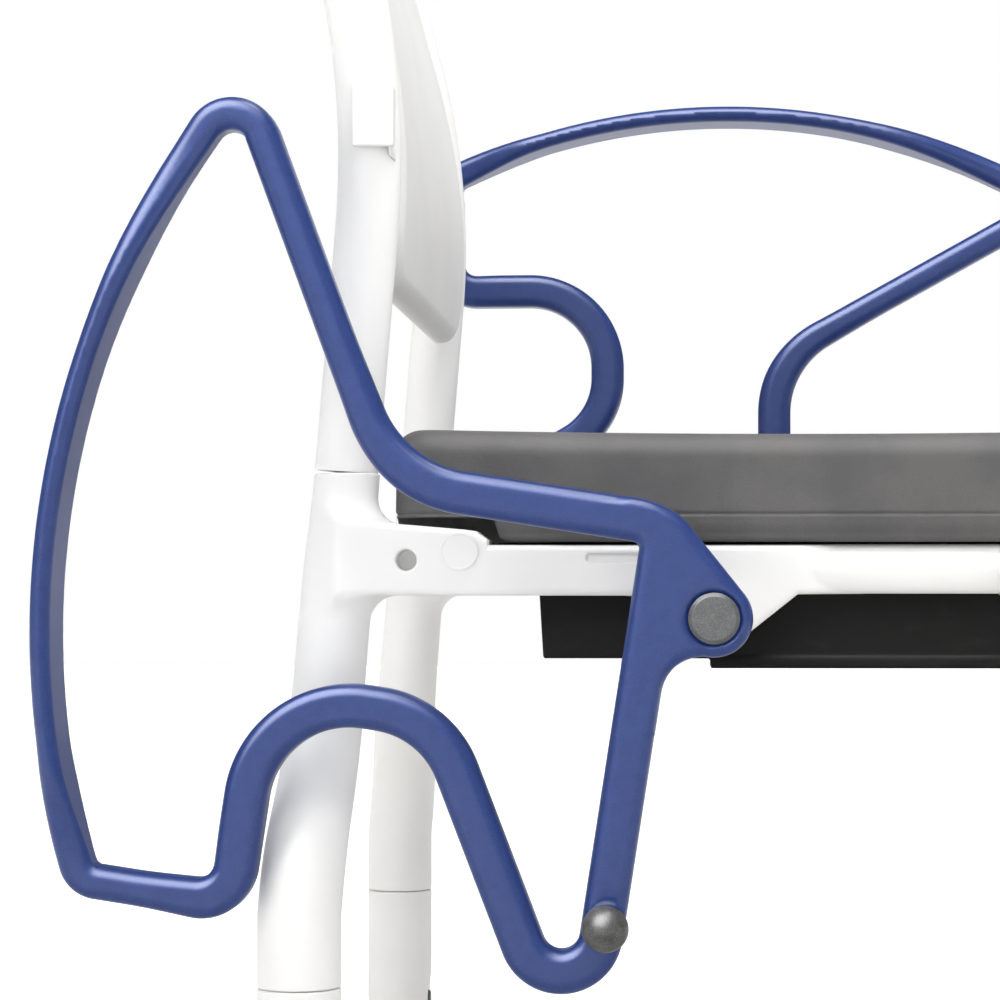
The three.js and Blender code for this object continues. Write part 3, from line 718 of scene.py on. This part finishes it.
@dataclass
class Rail:
    """A seat rail: a tube out of a flat-sided casting, with a gusset and a boss for the pivot."""

    y: float = 205.0
    z: float = 399.5
    radius: float = 12.5
    rear: float = -110.0
    front: float = 148.9
    pivot: tuple = (4.8, 375.0)
    boss: float = 17.0
    boss_end: float = 248.7
    bore: float = 7.3
    slot: tuple = (-59.0, -24.0, 402.6, 407.0)
    cell: float = 1.5

    def outline(self) -> Array:
        """The casting's outline in X and Z, with the gusset's long diagonal down to the boss."""
        low, high = self.z - self.radius - 1, self.z + self.radius - 0.8
        x, z = self.pivot
        around = arc(x, z, self.boss, 1.22, 1.7)
        swoop = curve((-40, low), (-16, low), around[0])
        ends = [(47, low + 0.8), (80, low + 1.5), (80, high), (self.rear - 8, high)]
        return np.vstack([[(self.rear - 8, low), (-40, low)], swoop, around[1:], ends])

    def body(self, x: Array, y: Array, z: Array) -> Array:
        """Tube, casting and boss with fillets, less the axle's bore and the shallow slot."""
        px, pz = self.pivot
        tube = common(np.hypot(y - self.y, z - self.z) - self.radius, span(x, self.rear, self.front), 0.4)
        shoulder = 9.5 * (1 - ramp(x, -104, -60)) - 10 * ramp(x, 46, 76)
        wall = span(y, self.y - self.radius, self.y + self.radius + 1 + shoulder)
        cast = common(polygon(x, z, self.outline()), wall, 3.4)
        cast = np.maximum(cast, self.rear - x)
        boss = common(np.hypot(x - px, z - pz) - self.boss, span(y, 196, self.boss_end), 1.0)
        whole = join(join(tube, cast, 1.0), boss, 2.0)
        axle = common(np.hypot(x - px, z - pz) - self.bore, 204 - y, 0.2)
        x0, x1, z0, z1 = self.slot
        slot = common(common(span(x, x0, x1), span(z, z0, z1), 1.6), self.y + self.radius - 0.7 - y, 0.2)
        return less(less(whole, slot, 0.4), axle, 0.5)

    def build(self) -> None:
        """Places both rails, the caps of the arms' pivots and the two cross tubes."""
        sizes = (self.rear, self.front, 190, self.boss_end, 354, 416)
        shell = skin(self.body, sizes, self.cell)
        cap = rounded([[0, 0], [12.5, 0], [12.5, 0.9], [10.7, 2.7], [0, 2.7]], 0.25)
        for hand in Hand:
            word = hand.word
            place(shell.on(hand), f"{word}_rail_casting", "frame", WHITE, f"{word}_seat_rail")
            turned = revolve(cap, 96).laid_along("y").moved(self.pivot[0], 271.5, self.pivot[1])
            place(turned.on(hand), f"{word}_pivot_disc", "frame", CAP, f"{word}_pivot_cap")
        for node in ("rear_cross_tube", "front_cross_tube"):
            low, high = (1000 * np.array(corner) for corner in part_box(node))
            half, radius = (high[1] - low[1]) / 2, (high[2] - low[2]) / 2
            bar = revolve(rounded([[0, -half], [radius, -half], [radius, half], [0, half]], 1.0), 64)
            middle = (low[0] + high[0]) / 2 - CENTRE_X
            stood = bar.laid_along("y").moved(middle, 0, (low[2] + high[2]) / 2)
            place(stood, f"{node}_bar", "frame", WHITE, node)


@dataclass
class Back:
    """The uprights, the shell between them and the two clips that hold it."""

    x: float = -169.4
    z: float = 608.0
    radius: float = 450.0
    forward: float = 4.7
    backward: float = 15.0
    top: float = 880.0
    bottom: float = 448.3
    tube: float = 16.0
    foot_round: float = 1.3
    crown_round: float = 4.0
    upper_y: float = 205.0
    panel_bottom: float = 544.0
    panel_top: float = 862.0
    half: float = 188.6
    thick: float = 4.5
    lip: float = 13.0
    ahead: tuple = (16.8, 12.2)
    slope: float = 0.97
    corner: float = 34.0

    def line(self, z: Array) -> Array:
        """X of the back's line at a height: straight, a circle's arc, and straight, with no kink."""
        low, high = math.radians(-self.forward), math.radians(self.backward)
        hub = self.x - self.radius
        z_low, z_high = self.z + self.radius * math.sin(low), self.z + self.radius * math.sin(high)
        on = hub + np.sqrt(self.radius ** 2 - (np.clip(z, z_low, z_high) - self.z) ** 2)
        return on + math.tan(low) * np.maximum(z_low - z, 0) - math.tan(high) * np.maximum(z - z_high, 0)

    def upright(self) -> Shell:
        """A tube along the line, with a small round at its ends."""
        foot, crown = self.foot_round, self.crown_round
        low = self.bottom + np.array([0, 0.15, 0.6, foot])
        high = self.top - crown + np.array([0, 1.2, 2.4, 3.2, 3.7, crown])
        z = np.concatenate([low, np.linspace(self.bottom + 3, self.top - 6, 90), high])
        below = foot - np.minimum(z - self.bottom, foot)
        above = np.clip(z - (self.top - crown), 0, crown)
        radii = self.tube - foot + np.sqrt(np.maximum(foot ** 2 - below ** 2, 0))
        radii = radii - crown + np.sqrt(np.maximum(crown ** 2 - above ** 2, 0.04))
        return sweep(np.stack([self.line(z), self.upper_y + 0 * z, z], -1), radii, 72)

    def panel(self, x: Array, y: Array, z: Array) -> Array:
        """A tray: its face follows the line, and a lip turns back all round it.

        The outer body is the space behind the face within a round-cornered block, with a round edge. The
        hollow is the same body moved inward by the thickness, and the tray is the one less the other.
        Slope is about the cosine of the back's lean, and makes a distance along X one across the face.
        """
        face = self.line(z) + self.ahead[0] + (self.ahead[1] - self.ahead[0]) * ramp(z, 590, 740)
        middle, tall = (self.panel_bottom + self.panel_top) / 2, (self.panel_top - self.panel_bottom) / 2

        def block(shrink: float, corner: float) -> Array:
            """A rectangle in Y and Z with round corners, drawn inward by shrink."""
            u = np.abs(y) - (self.half - shrink - corner)
            v = np.abs(z - middle) - (tall - shrink - corner)
            outside = np.hypot(np.maximum(u, 0), np.maximum(v, 0))
            return outside + np.minimum(np.maximum(u, v), 0) - corner

        ahead = (x - face) * self.slope
        outer = common(block(0, self.corner), ahead, 9.0)
        hollow = common(block(self.thick, self.corner - self.thick), ahead + self.thick, 5.0)
        tray = less(outer, hollow, 1.2)
        return common(tray, face - self.lip - x, 1.0)

    def clip(self, x: Array, y: Array, z: Array) -> Array:
        """A hollow clip beside the tube: an outer wall, a front wall and a roof, open at the bottom."""
        lower = 611 - 0.8 * np.maximum(222.6 - y, 0)
        shell = common(common(span(x, -176.5, -155.4), span(y, 206, 226.2), 1.6), z - 642, 1.4)
        shell = common(shell, lower - z, 1.2)
        hollow = common(common(span(x, -190, -158.4), y - 222.8, 1.0), z - 637.5, 0.8)
        body = less(shell, hollow, 0.6)
        tube = np.hypot(x - self.line(z), y - self.upper_y) - self.tube - 0.3
        return less(body, tube, 0.4)

    def build(self) -> None:
        """Places the uprights, the clips and the shell."""
        tube = self.upright()
        clip = skin(self.clip, (-177, -154, 204, 227, 603, 643), 0.8)
        for hand in Hand:
            word = hand.word
            place(tube.on(hand), f"{word}_back_tube", "frame", WHITE, f"{word}_back_upright")
            place(clip.on(hand), f"{word}_back_clip", "frame", WHITE, f"{word}_back_hook")
        sizes = (-222, -150, -self.half, self.half, self.panel_bottom, self.panel_top)
        place(skin(self.panel, sizes, 2.3), "back_shell", "frame", SHELL, "back_panel")


# Seat

@dataclass
class Seat:
    """The moulded pad with its opening, the board under it and the two rails for a pan."""

    rear: float = SEAT_REAR
    front: float = 283.0
    half: float = 218.0
    top: float = 470.0
    bottom: float = 413.0
    corner: float = 24.0
    edge: float = 12.5
    opening: tuple = (70.0, 130.0, 100.0)
    seam: float = 427.0
    notch: float = 425.3
    dish: float = 2.5
    around: int = 480

    def outline(self, x0: float, x1: float, half: float, corner: float) -> tuple:
        """Points and outward directions round a rectangle with round corners, evenly spaced."""
        long, wide = x1 - x0 - 2 * corner, 2 * (half - corner)
        sides = np.array([wide, long, wide, long])
        turn = corner * math.pi / 2
        marks = np.concatenate([[0], np.cumsum(np.stack([sides, np.full(4, turn)], -1).ravel())])
        s = np.linspace(0, marks[-1], self.around, endpoint=False)
        leg = np.searchsorted(marks, s, side="right") - 1
        along = s - marks[leg]
        side = leg // 2
        bent = leg % 2 == 1
        angle = (side + np.where(bent, along / turn, 0)) * math.pi / 2
        normal = np.stack([np.cos(angle), np.sin(angle)], -1)
        tangent = np.stack([-np.sin(angle), np.cos(angle)], -1)
        hubs = np.array([[x1 - corner, half - corner], [x0 + corner, half - corner],
                         [x0 + corner, corner - half], [x1 - corner, corner - half]])
        reach = np.where(bent, 0, along - sides[side])[:, None]
        return hubs[side] + corner * normal + tangent * reach, normal

    def ellipse(self, points: Array, grow: float) -> tuple:
        """Where the ray from the opening's middle to each point meets it, and the way into the pad."""
        x, long, wide = self.opening
        ray = points - np.array([x, 0])
        t = np.arctan2(ray[:, 1] / (wide + grow), ray[:, 0] / (long + grow))
        spots = np.stack([x + (long + grow) * np.cos(t), (wide + grow) * np.sin(t)], -1)
        normal = np.stack([np.cos(t) / (long + grow), np.sin(t) / (wide + grow)], -1)
        return spots, normal / np.linalg.norm(normal, axis=1)[:, None]

    @staticmethod
    def ring(outer: tuple, inner: tuple, rows: Array) -> Shell:
        """A closed band round the opening.

        Each row (w, d, z) gives the loop (1 - w) (inner + d m) + w (outer - d n) at height z, where
        m and n are the ways into and out of the pad at the opening and at the rim.
        """
        (rim, out), (hole, into) = outer, inner
        w, d, z = (rows[:, i][:, None, None] for i in range(3))
        flat = (1 - w) * (hole + d * into) + w * (rim - d * out)
        points = np.concatenate([flat, np.broadcast_to(z, flat.shape[:2] + (1,))], -1).reshape(-1, 3)
        return Shell(points, grid_faces(len(rows), len(rim), wrap_rows=True))

    def pad_rows(self) -> Array:
        """The pad's section from the opening's foot, over the top and down the side, to the bottom."""
        quarter = np.linspace(0, math.pi / 2, 12)
        e, lip, tuck, flare, top, bottom = self.edge, 4.0, 2.4, 3.6, self.top, self.bottom
        rows = [(0, lip * (1 - math.sin(a)), bottom + lip * (1 - math.cos(a))) for a in quarter]
        rows += [(0, 0, z) for z in np.linspace(bottom + lip + 2, top - e - 1, 14)]
        rows += [(0, e * (1 - math.cos(a)), top - e * (1 - math.sin(a))) for a in quarter]
        rows += [(w, e, top) for w in np.linspace(0, 1, 58)[1:-1]]
        rows += [(1, e * (1 - math.sin(a)), top - e * (1 - math.cos(a))) for a in quarter]
        high, side = top - e - 1.5, top - e - self.seam - 4.5
        rows += [(1, 0.12 * math.sin(s * math.pi), high - s * side) for s in np.linspace(0, 1, 16)]
        groove = [(2.2, 0.0), (1.4, 0.05), (0.8, 0.3), (0.4, 0.75), (0, 0.95), (-0.4, 0.85), (-0.8, 0.55),
                  (-1.5, 0.4), (-2.4, 0.5)]
        rows += [(1, d, self.seam + z) for z, d in groove]
        start = self.seam - 3.4
        rows += [(1, 0.6 + 1.6 * s * s, start - s * (start - bottom - 4.4)) for s in np.linspace(0, 1, 9)]
        rows += [(1, tuck + flare * (1 - math.cos(a)), bottom + lip * (1 - math.sin(a)))
                 for a in quarter[1:]]
        rows += [(w, (tuck + flare) * w + lip * (1 - w), bottom) for w in np.linspace(1, 0, 34)[1:-1]]
        return np.array(rows)[::-1]

    def pad(self) -> Shell:
        """The ring with a shallow dish along its top and two notches over the rear stubs.

        The top falls by dish (1 - ((x - 60) / 205)^2), fading to nought down the sides. In a notch
        every point is lifted to at least the notch's height, which falls away over 3 mm round it.
        """
        outer = self.outline(self.rear, self.front, self.half, self.corner)
        shell = self.ring(outer, self.ellipse(outer[0], 0), self.pad_rows())
        x, y, z = shell.points.T
        high = ramp(z, self.seam + 12, self.top - 3)
        fall = self.dish * np.clip(1 - ((x - 60) / 205) ** 2, 0, 1)
        z = z - fall * high
        away = np.maximum(np.maximum(x + 104.5, 189.5 - np.abs(y)), 0)
        shell.points[:, 2] = np.maximum(z, self.notch - 14 * ramp(away, 0, 3))
        return shell

    def board(self) -> Shell:
        """The stiff board under the pad."""
        rows = [(0, 0.8, 405), (0, 0, 405.8), (0, 0, 411.9), (0, 0.8, 412.7)]
        rows += [(w, 0.8, 412.7) for w in np.linspace(0, 1, 12)[1:-1]]
        rows += [(1, 0.8, 412.7), (1, 0, 411.9), (1, 0, 405.8), (1, 0.8, 405)]
        rows += [(w, 0.8, 405) for w in np.linspace(1, 0, 12)[1:-1]]
        outer = self.outline(-150, 262, 181, 30)
        return self.ring(outer, self.ellipse(outer[0], 3), np.array(rows, float)[::-1])

    def pan_rail(self, x: Array, y: Array, z: Array) -> Array:
        """A channel: a web with a slanted end, a cap above, and a shelf with a lip below."""
        web = polygon(x, z, np.array([(-85, 404.5), (-82, 354), (203, 354), (203, 404.5)]))
        body = common(web, span(y, 188.5, 191.5), 0.8)
        shelf = box(x, y, z, (3, 203, 174, 192.2, 349, 354.5), 1.0)
        cap = box(x, y, z, (-83, 203, 172, 191.5, 401.5, 404.5), 0.8)
        return join(join(body, shelf, 1.2), cap, 1.2)

    def build(self) -> None:
        """Places the pad, its board and the pan rails."""
        pad = place(self.pad(), "seat_cushion", "frame", FOAM, "seat_pad")
        place(self.board(), "seat_board", "frame", BLACK, "seat_base")
        channel = skin(self.pan_rail, (-85, 203, 172, 192.2, 349, 404.5), 1.5)
        for hand in Hand:
            place(channel.on(hand), f"{hand.word}_pan_channel", "frame", BLACK, f"{hand.word}_pan_rail")


# Arms

@dataclass
class Arm:
    """An arm: a closed loop of bar with a flat web at its pivot, wide and thin along the arm rest.

    It is drawn raised, with the pivot at the origin and Y out of its middle plane.
    """

    pivot: tuple = (4.8, 260.0, 375.0)
    dropped: float = -81.2
    half_depth: float = 11.0
    half_bar: float = 10.6
    half_mid: float = 8.3
    half_thin: float = 5.0
    half_rest: float = 21.0
    rest_strokes: int = 3
    edge: float = 6.5
    rest: tuple = (9.5, -104.3, 431.0)
    bush: float = 10.3
    lock: tuple = (-153.3, 28.7)
    lock_bore: float = 6.3
    ball: float = 11.25
    ball_y: float = 34.0
    cell: float = 2.0

    def rest_corner(self, start: float, end: float) -> tuple:
        """Where two tangents of the arm rest's arc meet, from angles counted forward from upright."""
        x, z, radius = self.rest
        middle = math.radians((start + end) / 2)
        reach = radius / math.cos(math.radians((end - start) / 2))
        return x + reach * math.sin(middle), z + reach * math.cos(middle), radius - 12

    def corners(self) -> list:
        """The loop's corners as (x, z, radius)."""
        return [(-173, 285.5, 12), self.rest_corner(-24, 0), self.rest_corner(0, 24), (227, 269, 16),
                (41.5, 166, 60), (41.5, 30.5, 14), (-235, 30.5, 19.7), (-68.5, 126.1, 48),
                (-68.5, 212, 51), (-173, 211.5, 18)]

    def strokes(self) -> list:
        """The loop as straight strokes and arcs.

        Returns:
            For each corner its arc (hub, radius, first angle, turn, end) and the next arc's start, to
            which a straight stroke runs.
        """
        corners = [np.array(c, float) for c in self.corners()]
        arcs, starts = [], []
        for i, here in enumerate(corners):
            arrive = here[:2] - corners[i - 1][:2]
            leave = corners[(i + 1) % len(corners)][:2] - here[:2]
            arrive, leave = arrive / np.linalg.norm(arrive), leave / np.linalg.norm(leave)
            turn = math.atan2(arrive[0] * leave[1] - arrive[1] * leave[0], float(arrive @ leave))
            side = math.copysign(1, turn)
            start = here[:2] - arrive * here[2] * math.tan(abs(turn) / 2)
            hub = start + side * here[2] * np.array([-arrive[1], arrive[0]])
            first = math.atan2(*(start - hub)[::-1])
            end = hub + here[2] * np.array([math.cos(first + turn), math.sin(first + turn)])
            arcs.append((hub, here[2], first, turn, end))
            starts.append(start)
        return list(zip(arcs, starts[1:] + starts[:1]))

    def bar(self, x: Array, z: Array) -> tuple:
        """The distance to the bar in its own plane, and its half depth there.

        The nearest stroke gives both: distance to its line less the half thickness, and a half depth.
        Along the rest the bar grows thin and wide, and thickens again toward its two ends.
        """
        best = np.full(np.broadcast(x, z).shape, 1e9)
        depth = np.full(best.shape, self.half_depth)
        swell = ramp(x, -172, -118) * (1 - ramp(x, 112, 192))
        wide = self.half_depth + (self.half_rest - self.half_depth) * swell
        fat = np.maximum(ramp(x, 75, 232), 1 - ramp(x, -170, -105))
        rest = self.half_thin + (self.half_mid - self.half_thin) * fat
        slim = np.where(x > 0, ramp(z, 150, 200), ramp(-x, 135, 165) * ramp(z, 205, 262))
        full = self.half_bar - (self.half_bar - self.half_mid) * slim
        for number, (here, start) in enumerate(self.strokes()):
            hub, radius, first, turn, end = here
            dx, dz = x - hub[0], z - hub[1]
            middle = first + turn / 2
            off = (np.arctan2(dz, dx) - middle + math.pi) % (2 * math.pi) - math.pi
            held = middle + np.clip(off, -abs(turn) / 2, abs(turn) / 2)
            to_arc = np.hypot(dx - radius * np.cos(held), dz - radius * np.sin(held))
            ex, ez = start - end
            length = max(ex * ex + ez * ez, 1e-6)
            share = np.clip(((x - end[0]) * ex + (z - end[1]) * ez) / length, 0, 1)
            to_stroke = np.hypot(x - end[0] - share * ex, z - end[1] - share * ez)
            on_arc, on_stroke = number <= self.rest_strokes, number < self.rest_strokes
            for distance, on_rest in ((to_arc, on_arc), (to_stroke, on_stroke)):
                gap = distance - (rest if on_rest else full)
                depth = np.where(gap < best, wide if on_rest else self.half_depth, depth)
                best = np.minimum(best, gap)
        return best, depth

    def web(self) -> Array:
        """The outline of the flat web that joins the loop to its pivot."""
        low = 30.5 - self.half_bar
        eye = arc(0, 0, 19, 0.97, 1.78)
        line = [[(41.5, 78), (38, 34), (-60, 34), (-60, low), (-42, low)]]
        line += [curve((-42, low), (-22.5, low), eye[0]), eye[1:], [(43.5, 19.4)]]
        return np.vstack(line + [curve((43.5, 19.4), (52.6, 29.5), (41.5 + self.half_bar, 50))])

    def body(self, x: Array, y: Array, z: Array) -> Array:
        """Bar and web given depth with round edges, less the bores for the pivot and the lock."""
        flat, depth = self.bar(x, z)
        flat = join(flat, polygon(x, z, self.web()), 0.5)
        flat = common(flat, self.bush - np.hypot(x, z), 0.3)
        flat = common(flat, self.lock_bore - np.hypot(x - self.lock[0], z - self.lock[1]), 0.3)
        return common(flat, np.abs(y) - depth, self.edge)

    def set(self, shell: Shell, hand: Hand) -> Shell:
        """A shell drawn on the raised left arm, as it stands at rest on the given side."""
        x, y, z = self.pivot
        if hand is Hand.LEFT:
            return shell.moved(x, y, z)
        return shell.mirrored(1).swung(self.dropped).moved(x, -y, z)

    def fittings(self) -> dict:
        """The lock's pin, knob, bush and spring, each drawn along Y."""
        tip, collar = [[0, -30], [2.8, -30], [4, -28.5]], [[4, -2.5], [5.8, -2.5], [5.8, 0.5], [4, 0.5]]
        pin = rounded([*tip, *collar, [4, 30], [0, 30]], 0.4)
        a = np.linspace(-1.047, math.pi / 2, 40)
        globe = np.stack([self.ball * np.cos(a), self.ball_y + self.ball * np.sin(a)], -1)
        neck = [[0, 30.3], [4.3, 30.3], [4.3, 22.8], [5.3, 22.8], [5.62, 23.1]]
        knob = np.vstack([neck, globe[:-1], [[0, self.ball_y + self.ball]]])
        bush = rounded([[4.1, 6.0], [6.0, 6.0], [6.0, 11.0], [4.1, 11.0], [4.1, 6.0]], 0.3)[:-1]
        s = np.linspace(0, 1, 160)
        coil = np.stack([5.1 * np.cos(6 * math.pi * s), 1.3 + 3.6 * s, 5.1 * np.sin(6 * math.pi * s)], -1)
        return {"pin": revolve(pin, 48).laid_along("y"), "knob": revolve(knob, 72).laid_along("y"),
                "bush": revolve(bush, 48).laid_along("y"), "spring": sweep(coil, np.full(160, 0.5), 10)}

    def build(self) -> None:
        """Places both arms with their locks."""
        loop = skin(self.body, (-246, 240, -self.half_rest, self.half_rest, -20, 334), self.cell)
        parts = self.fittings()
        finishes = {"pin": STEEL, "knob": BALL, "bush": BLACK, "spring": STEEL}
        for hand in Hand:
            word = hand.word
            place(self.set(loop, hand), f"{word}_arm_loop", f"{word}_arm", BLUE, f"{word}_arm")
            for part, shell in parts.items():
                body = f"{word}_lock" if part in ("pin", "knob") else f"{word}_arm"
                stood = self.set(shell.moved(self.lock[0], 0, self.lock[1]), hand)
                place(stood, f"{word}_latch_{part}", body, finishes[part], f"{word}_lock_{part}")


# Lower legs

@dataclass
class LowerLeg:
    """A sleeve with a finger dish, its push button, and the drilled tube with its rubber foot."""

    x: float = -199.5
    y: float = 243.0
    radius: float = 20.75
    bore: float = 14.25
    top: float = 193.0
    bottom: float = 95.0
    dish: tuple = (78.5, 122.0, 60.0)
    tube: float = 14.0
    length: tuple = (8.3, 230.0)
    holes: tuple = (47.0, 147.0)
    pitch: float = 25.0

    def sleeve(self, x: Array, y: Array, z: Array) -> Array:
        """A round sleeve with a bore, less a ball-shaped dish and the button's hole."""
        r = np.hypot(x, y)
        body = common(r - self.radius, span(z, self.bottom, self.top), 1.2)
        body = less(body, r - self.bore, 0.4)
        cx, cz, ball = self.dish
        body = less(body, np.sqrt((x - cx) ** 2 + y * y + (z - cz) ** 2) - ball, 0.9)
        return less(body, common(np.hypot(y, z - cz) - 5.7, 8 - x, 0.2), 0.3)

    def drilled(self, x: Array, y: Array, z: Array) -> Array:
        """The tube, with a row of holes toward the front."""
        r = np.hypot(x, y)
        low, high = self.holes
        body = common(r - self.tube, span(z, *self.length), 1.0)
        near = low + self.pitch * np.round((np.clip(z, low, high) - low) / self.pitch)
        holes = common(np.hypot(y, z - near) - 4.2, 10.5 - x, 0.2)
        return less(less(body, holes, 0.4), common(r - 11.5, 20 - z, 0.3), 0.3)

    def foot(self) -> Shell:
        """A rubber foot with a flared base, two grip grooves and a bead at its mouth."""
        base = [[0, 0], [19.2, 0], [20.6, 1.6], [21, 3.4], [20.4, 9], [19.3, 9.8], [19.9, 11.2]]
        grip = [[18.9, 15], [18.1, 15.8], [18.3, 17.2], [17.3, 20], [17.1, 29.5]]
        mouth = [[17.9, 31], [17.4, 33.2], [16.4, 34], [14.3, 34], [14.3, 8.0], [0, 8.0]]
        return revolve(rounded(base + grip + mouth, 0.7), 64)

    def build(self) -> None:
        """Places the four lower legs."""
        sleeve = skin(self.sleeve, (-21, 21, -21, 21, self.bottom, self.top), 1.25)
        tube = skin(self.drilled, (-14, 14, -14, 14, *self.length), 1.3)
        press = revolve(rounded([[0, 17.2], [5.2, 17.2], [5.2, 19.6], [4.3, 20.4], [0, 20.1]], 0.5), 40)
        press = press.laid_along("x").moved(0, 0, self.dish[1])
        foot = self.foot()
        for end in End:
            x = self.x if end is End.REAR else 2 * MIRROR_X - self.x
            for hand in Hand:
                name = f"{hand.word}_{end.value}"
                y = self.y * hand.value
                leg = f"{name}_lower_leg"
                place(sleeve.moved(x, y), f"{name}_leg_sleeve", "frame", WHITE, f"{name}_sleeve")
                button = f"{name}_height_button"
                place(press.moved(x, y), f"{name}_push_button", button, CAP, f"{name}_button")
                place(tube.moved(x, y), f"{name}_drilled_tube", leg, ALU, f"{name}_leg_tube")
                place(foot.moved(x, y), f"{name}_rubber_foot", leg, RUBBER, f"{name}_foot")


# Studio

@dataclass
class Studio:
    """A pale floor, an even white surround, soft lamps and the camera."""

    lens: float = 107.12
    eye: tuple = (0.047, -1706.5, 387.7)
    yaw: float = 2.015
    pitch: float = 0.928
    shift: tuple = (-0.0995, 0.044)
    turn: tuple = (-0.6, 0.5)
    surround: tuple = (0.68, 0.95)
    mirrored: tuple = (0.5, 0.12)
    window: tuple = (-0.35, -0.55, 0.76)
    window_edge: tuple = (0.78, 0.96)
    glare: float = 18.0
    reach: float = 14.0
    lamps: tuple = (
        ("key", (0.9, -1.9, 2.7), 0.9, 14.0),
        ("left", (-2.3, -2.0, 1.2), 0.7, 9.0),
        ("front", (-0.3, -3.2, 1.2), 1.6, 8.0),
        ("top", (0.5, -0.4, 3.0), 1.0, 36.0),
    )

    def camera(self) -> None:
        """A long lens at seat height, square to the chair's side."""
        data = bpy.data.cameras.new("camera")
        data.lens, data.sensor_width = self.lens, 36.0
        data.shift_x, data.shift_y = self.shift
        data.clip_end = 60.0
        camera = bpy.data.objects.new("camera", data)
        x, y, z = self.eye
        camera.location = ((x + CENTRE_X) / 1000, y / 1000, z / 1000)
        camera.rotation_euler = (math.radians(90 + self.pitch), 0.0, math.radians(self.yaw))
        bpy.context.scene.collection.objects.link(camera)
        bpy.context.scene.camera = camera

    def lights(self) -> None:
        """Square soft lamps that face the seat, in an even white surround."""
        target = Vector((0.0, 0.0, 0.45))
        for name, spot, size, power in self.lamps:
            data = bpy.data.lights.new(name, "AREA")
            data.shape, data.size, data.energy = "SQUARE", size, power
            lamp = bpy.data.objects.new(name, data)
            lamp.location = spot
            lamp.rotation_euler = (target - Vector(spot)).to_track_quat("-Z", "Y").to_euler()
            bpy.context.scene.collection.objects.link(lamp)
        self.sky()

    def sky(self) -> None:
        """White where it is looked at; as a light it dims from beyond the chair to in front of it.

        Glossy surfaces mirror a dimmer surround with one bright window high up in front.
        """
        world = bpy.data.worlds.new("surround")
        world.use_nodes = True
        world.cycles.sampling_method = "NONE"
        nodes = Nodes(world.node_tree)
        ahead = nodes.node("ShaderNodeTexCoord", {}, {}, "Generated")
        away = nodes.node("ShaderNodeSeparateXYZ", {}, {0: ahead}, "Y")
        across = {0: ahead, 1: self.window}
        toward = nodes.node("ShaderNodeVectorMath", {"operation": "DOT_PRODUCT"}, across, "Value")
        seen = nodes.node("ShaderNodeLightPath", {}, {}, "Is Camera Ray")
        glossy = nodes.node("ShaderNodeLightPath", {}, {}, "Is Glossy Ray")
        spread = nodes.band(away, *self.turn, *self.surround)
        window = nodes.band(toward, *self.window_edge, 0, self.glare)
        mirrored = nodes.band(away, *self.turn, *self.mirrored) + window
        levels = {0: seen, 1: spread + glossy * (mirrored - spread)}
        level = nodes.node("ShaderNodeMath", {"operation": "MAXIMUM"}, levels)
        sky = next(n for n in nodes.tree.nodes if n.type == "BACKGROUND")
        sky.inputs["Color"].default_value = (1.0, 1.0, 1.0, 1.0)
        nodes.tree.links.new(level.output, sky.inputs["Strength"])
        bpy.context.scene.world = world

    def floor(self) -> None:
        """A wide pale floor, light grey round the chair; farther off it turns white and glows as painted
        light, so that it fades into the white surround.
        """
        graph = Graph("pale_floor")
        away = graph.node("ShaderNodeVectorMath", {"operation": "LENGTH"}, {0: graph.place}, "Value")
        far_glow = graph.band(away, 0.7, 1.35)
        patches = graph.band(graph.noise(400, 3), 0.3, 0.7)
        cloud = graph.mix(patches, (0.62, 0.605, 0.58), (0.65, 0.635, 0.615))
        # Painted light: farther off the floor turns white and emits light of its own, a glow that blends
        # it into the white surround
        graph.feed(Base_Color=graph.mix(far_glow, cloud, (0.9, 0.9, 0.9)), Emission_Strength=1.0)
        graph.feed(Emission_Color=graph.mix(far_glow, (0, 0, 0), (0.4, 0.4, 0.4)))
        graph.feed(Roughness=0.6, Specular_IOR_Level=0.2)
        mesh = bpy.data.meshes.new("floor")
        corners = [(x * self.reach, y * self.reach, 0) for x, y in ((-1, -1), (1, -1), (1, 1), (-1, 1))]
        mesh.from_pydata(corners, [], [(0, 1, 2, 3)])
        mesh.materials.append(graph.material)
        floor = bpy.data.objects.new("floor", mesh)
        bpy.context.scene.collection.objects.link(floor)

    def build(self) -> None:
        """Sets the stage."""
        bpy.context.scene.view_settings.view_transform = "Standard"
        self.camera()
        self.lights()
        self.floor()


def dress_frame() -> None:
    """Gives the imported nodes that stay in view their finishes."""
    finishes = {"pivot_axle": STEEL, "pivot_bush": BLACK}
    for name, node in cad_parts.items():
        for ending, finish in finishes.items():
            if name.endswith(ending):
                for holder in node.material_slots:
                    holder.material = finish.material()


def main() -> None:
    """Builds the chair and its stage, and gives the imported nodes that stay in view their finishes."""
    logging.basicConfig(level=logging.INFO, format="%(name)s %(message)s")
    for part in (Studio(), Leg(), Rail(), Back(), Seat(), Arm(), LowerLeg()):
        part.build()
    dress_frame()


if __name__ == "__main__":
    main()
